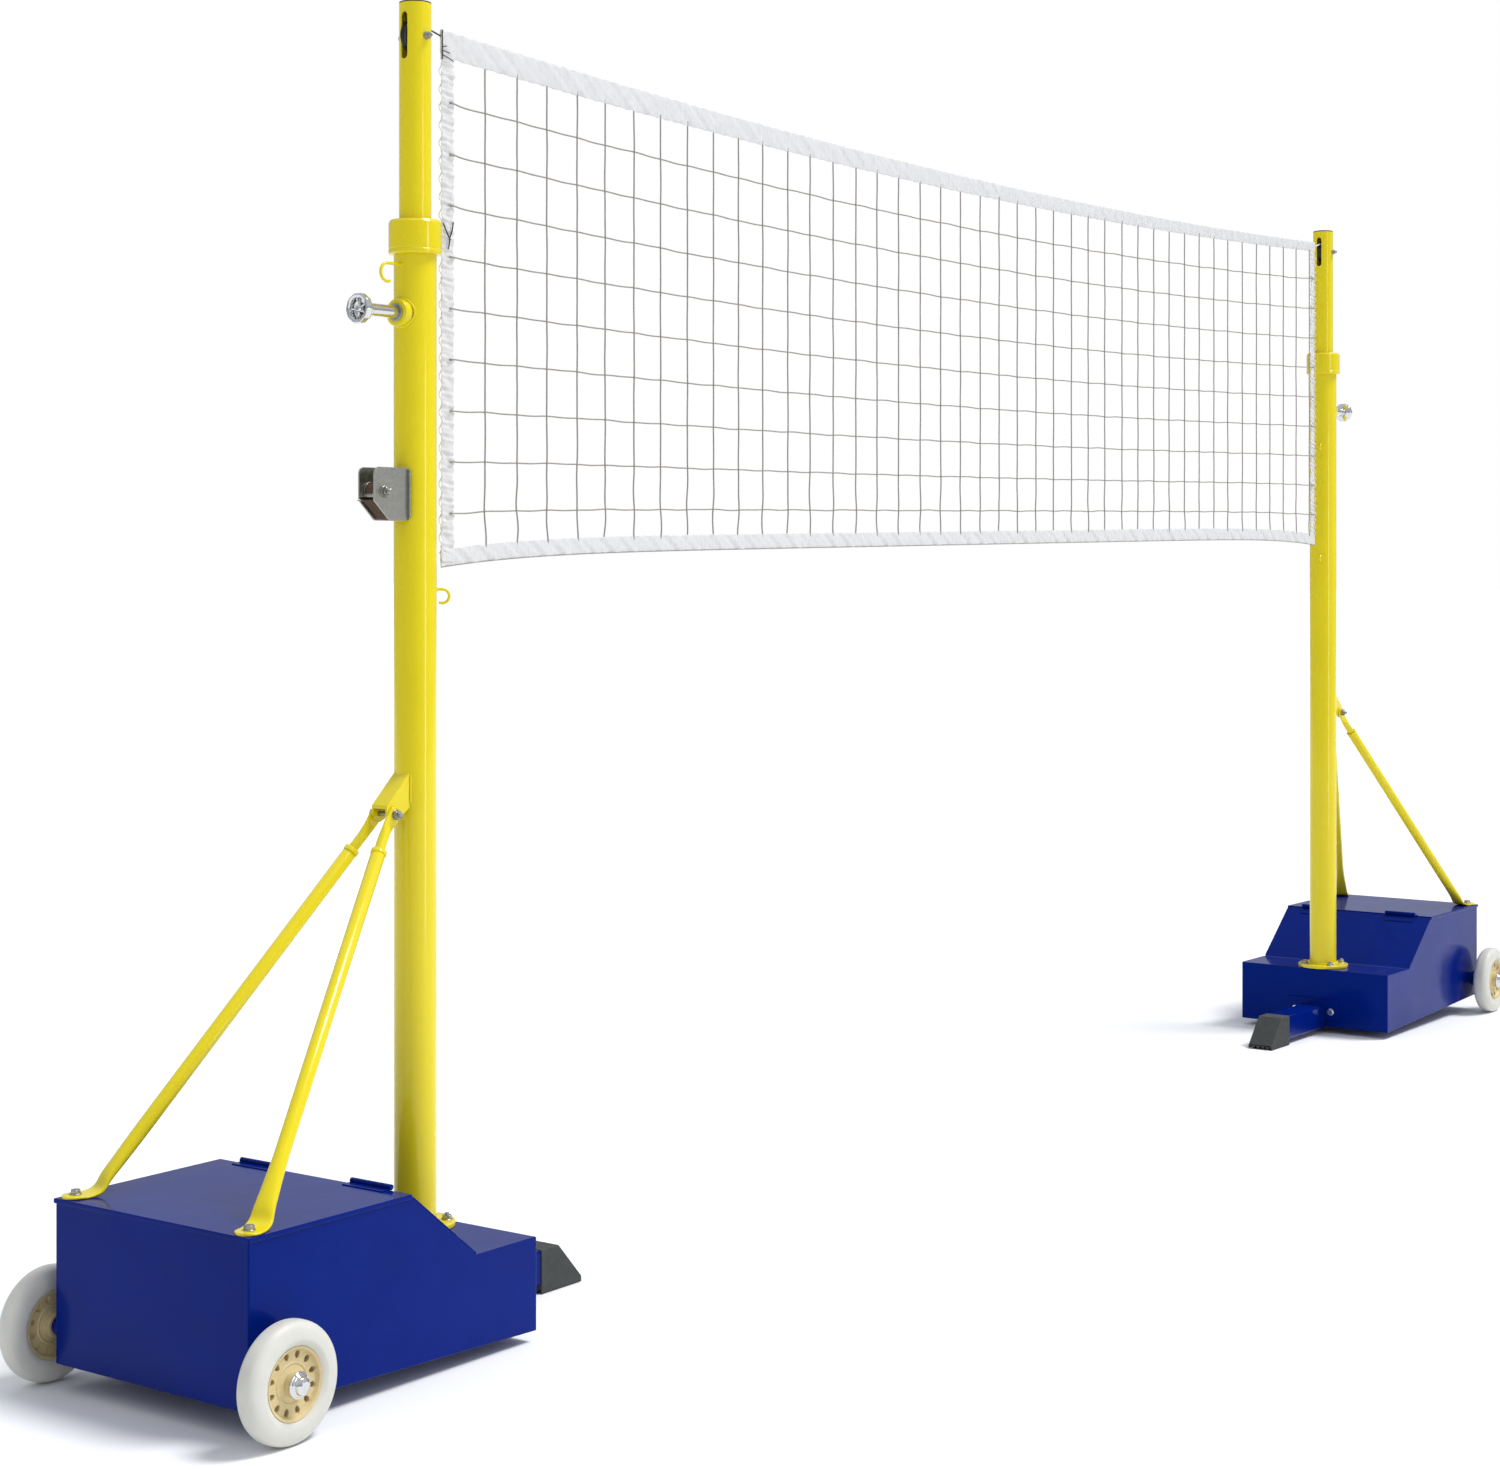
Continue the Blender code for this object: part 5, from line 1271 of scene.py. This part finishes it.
for stand_name, stand_side in SIDES.items():
    trolley(stand_name, stand_side)
    wheels(stand_name, stand_side)
    welds = [post(stand_name, stand_side), clamp(stand_name, stand_side)]
    for place_name, place_side in NEAR_FAR.items():
        strut(stand_name, stand_side, place_name, place_side)
    welds += bracket(stand_name, stand_side)
    fixed(f"post_welds_{stand_name}", welds, "yellow_powder_coat", sharp=60)
    for hook_level in ("upper", "lower"):
        hook(hook_level, stand_name, stand_side)
    foot_arm(stand_name, stand_side)
    boot(stand_name, stand_side)
    head_cable(stand_name, stand_side)
chance = np.random.default_rng(11)
bands(chance)
twine_mesh(chance)
lacing()
winch()


# Floor, light and camera

# Where the lamps stand or shine from, in metres, and how strong and wide they are
KEY_FROM, KEY_STRENGTH, KEY_SPREAD = (0.31, -0.40, 0.86), 2.5, 20
STRIP_PLACE, STRIP_TARGET, STRIP_SIZE, STRIP_WATTS = (-0.5, -9.0, 1.9), (-2.0, 0.0, 1.3), (0.9, 3.8), 75
# The camera's place in metres, its bearing in degrees, and its sensor and focal length in millimetres
CAMERA_PLACE, CAMERA_BEARING = (-5.7875, -3.518, 1.438), 36.1
SENSOR, FOCAL_LENGTH, FRAME_SHIFT = 36.0, 65.47, -0.116
FLOOR_HALF, FLOOR_DROP = 120, 0.0004


def ground():
    """A wide pale floor: a flat grid just below the wheels."""
    grid = np.linspace(-FLOOR_HALF, FLOOR_HALF, 13)
    x, y = np.meshgrid(grid, grid, indexing="ij")
    points, faces = skin(np.stack([x, y, np.full_like(x, -FLOOR_DROP)], axis=-1), ring=False)
    made = bpy.data.objects.new("floor", bpy.data.meshes.new("floor"))
    made.data.from_pydata(points.tolist(), [], [face[::-1] for face in faces])
    bpy.context.scene.collection.objects.link(made)
    made.data.materials.append(finish("Matt white floor", ("#F1F1F1", "#F4F4F4"), 900, (0.80, 0.90), 300, ()))


def sun(name, towards, strength, spread):
    """A wide, soft lamp that is the same everywhere, shining from that direction."""
    lamp = bpy.data.lights.new(name, "SUN")
    lamp.energy, lamp.angle = strength, math.radians(spread)
    made = bpy.data.objects.new(name, lamp)
    made.rotation_euler = Vector(towards).to_track_quat("Z", "Y").to_euler()
    bpy.context.scene.collection.objects.link(made)


def strip(name, place, target, size, watts):
    """A tall soft box at a place, turned to its target: its reflection is the light line down each tube."""
    lamp = bpy.data.lights.new(name, "AREA")
    lamp.shape, lamp.size, lamp.size_y, lamp.energy = "RECTANGLE", size[0], size[1], watts
    made = bpy.data.objects.new(name, lamp)
    made.location = place
    made.rotation_euler = (Vector(target) - Vector(place)).to_track_quat("-Z", "Y").to_euler()
    bpy.context.scene.collection.objects.link(made)


def studio():
    """A white wall as the camera sees it, and for light and reflections a dim room under a pale ceiling.

    The room's colour goes from grey at and below the horizon to the ceiling's, with the sine of the
    elevation, which reaches the ceiling at 0.55.
    """
    world = bpy.data.worlds.new("studio")
    world.use_nodes = True
    tree = world.node_tree
    way = add(tree, "ShaderNodeTexCoord").outputs["Generated"]
    height = add(tree, "ShaderNodeSeparateXYZ", {0: way}).outputs["Z"]
    rise = add(tree, "ShaderNodeMapRange", {"Value": height, "From Min": 0.0, "From Max": 0.55})
    room = add(tree, "ShaderNodeMix", {"Factor": rise.outputs["Result"]}, data_type="RGBA")
    room.inputs["A"].default_value, room.inputs["B"].default_value = srgb("#989CA4"), srgb("#D6DAE2")
    seen = add(tree, "ShaderNodeLightPath").outputs["Is Camera Ray"]
    shown = add(tree, "ShaderNodeMix", {"Factor": seen}, data_type="RGBA")
    shown.inputs["B"].default_value = srgb("#FFFFFF")
    tree.links.new(room.outputs["Result"], shown.inputs["A"])
    tree.links.new(shown.outputs["Result"], tree.nodes["Background"].inputs["Color"])
    bpy.context.scene.world = world
    bpy.context.scene.view_settings.view_transform = "Standard"


def camera():
    """The view: level, turned from the net's line by its bearing, with the frame shifted down."""
    lens = bpy.data.cameras.new("camera")
    lens.sensor_width, lens.lens, lens.shift_y = SENSOR, FOCAL_LENGTH, FRAME_SHIFT
    made = bpy.data.objects.new("camera", lens)
    made.location = CAMERA_PLACE
    made.rotation_euler = (math.radians(90), 0, math.radians(CAMERA_BEARING - 90))
    bpy.context.scene.collection.objects.link(made)
    bpy.context.scene.camera = made


ground()
studio()
sun("key", KEY_FROM, KEY_STRENGTH, KEY_SPREAD)
strip("strip", STRIP_PLACE, STRIP_TARGET, STRIP_SIZE, STRIP_WATTS)
camera()
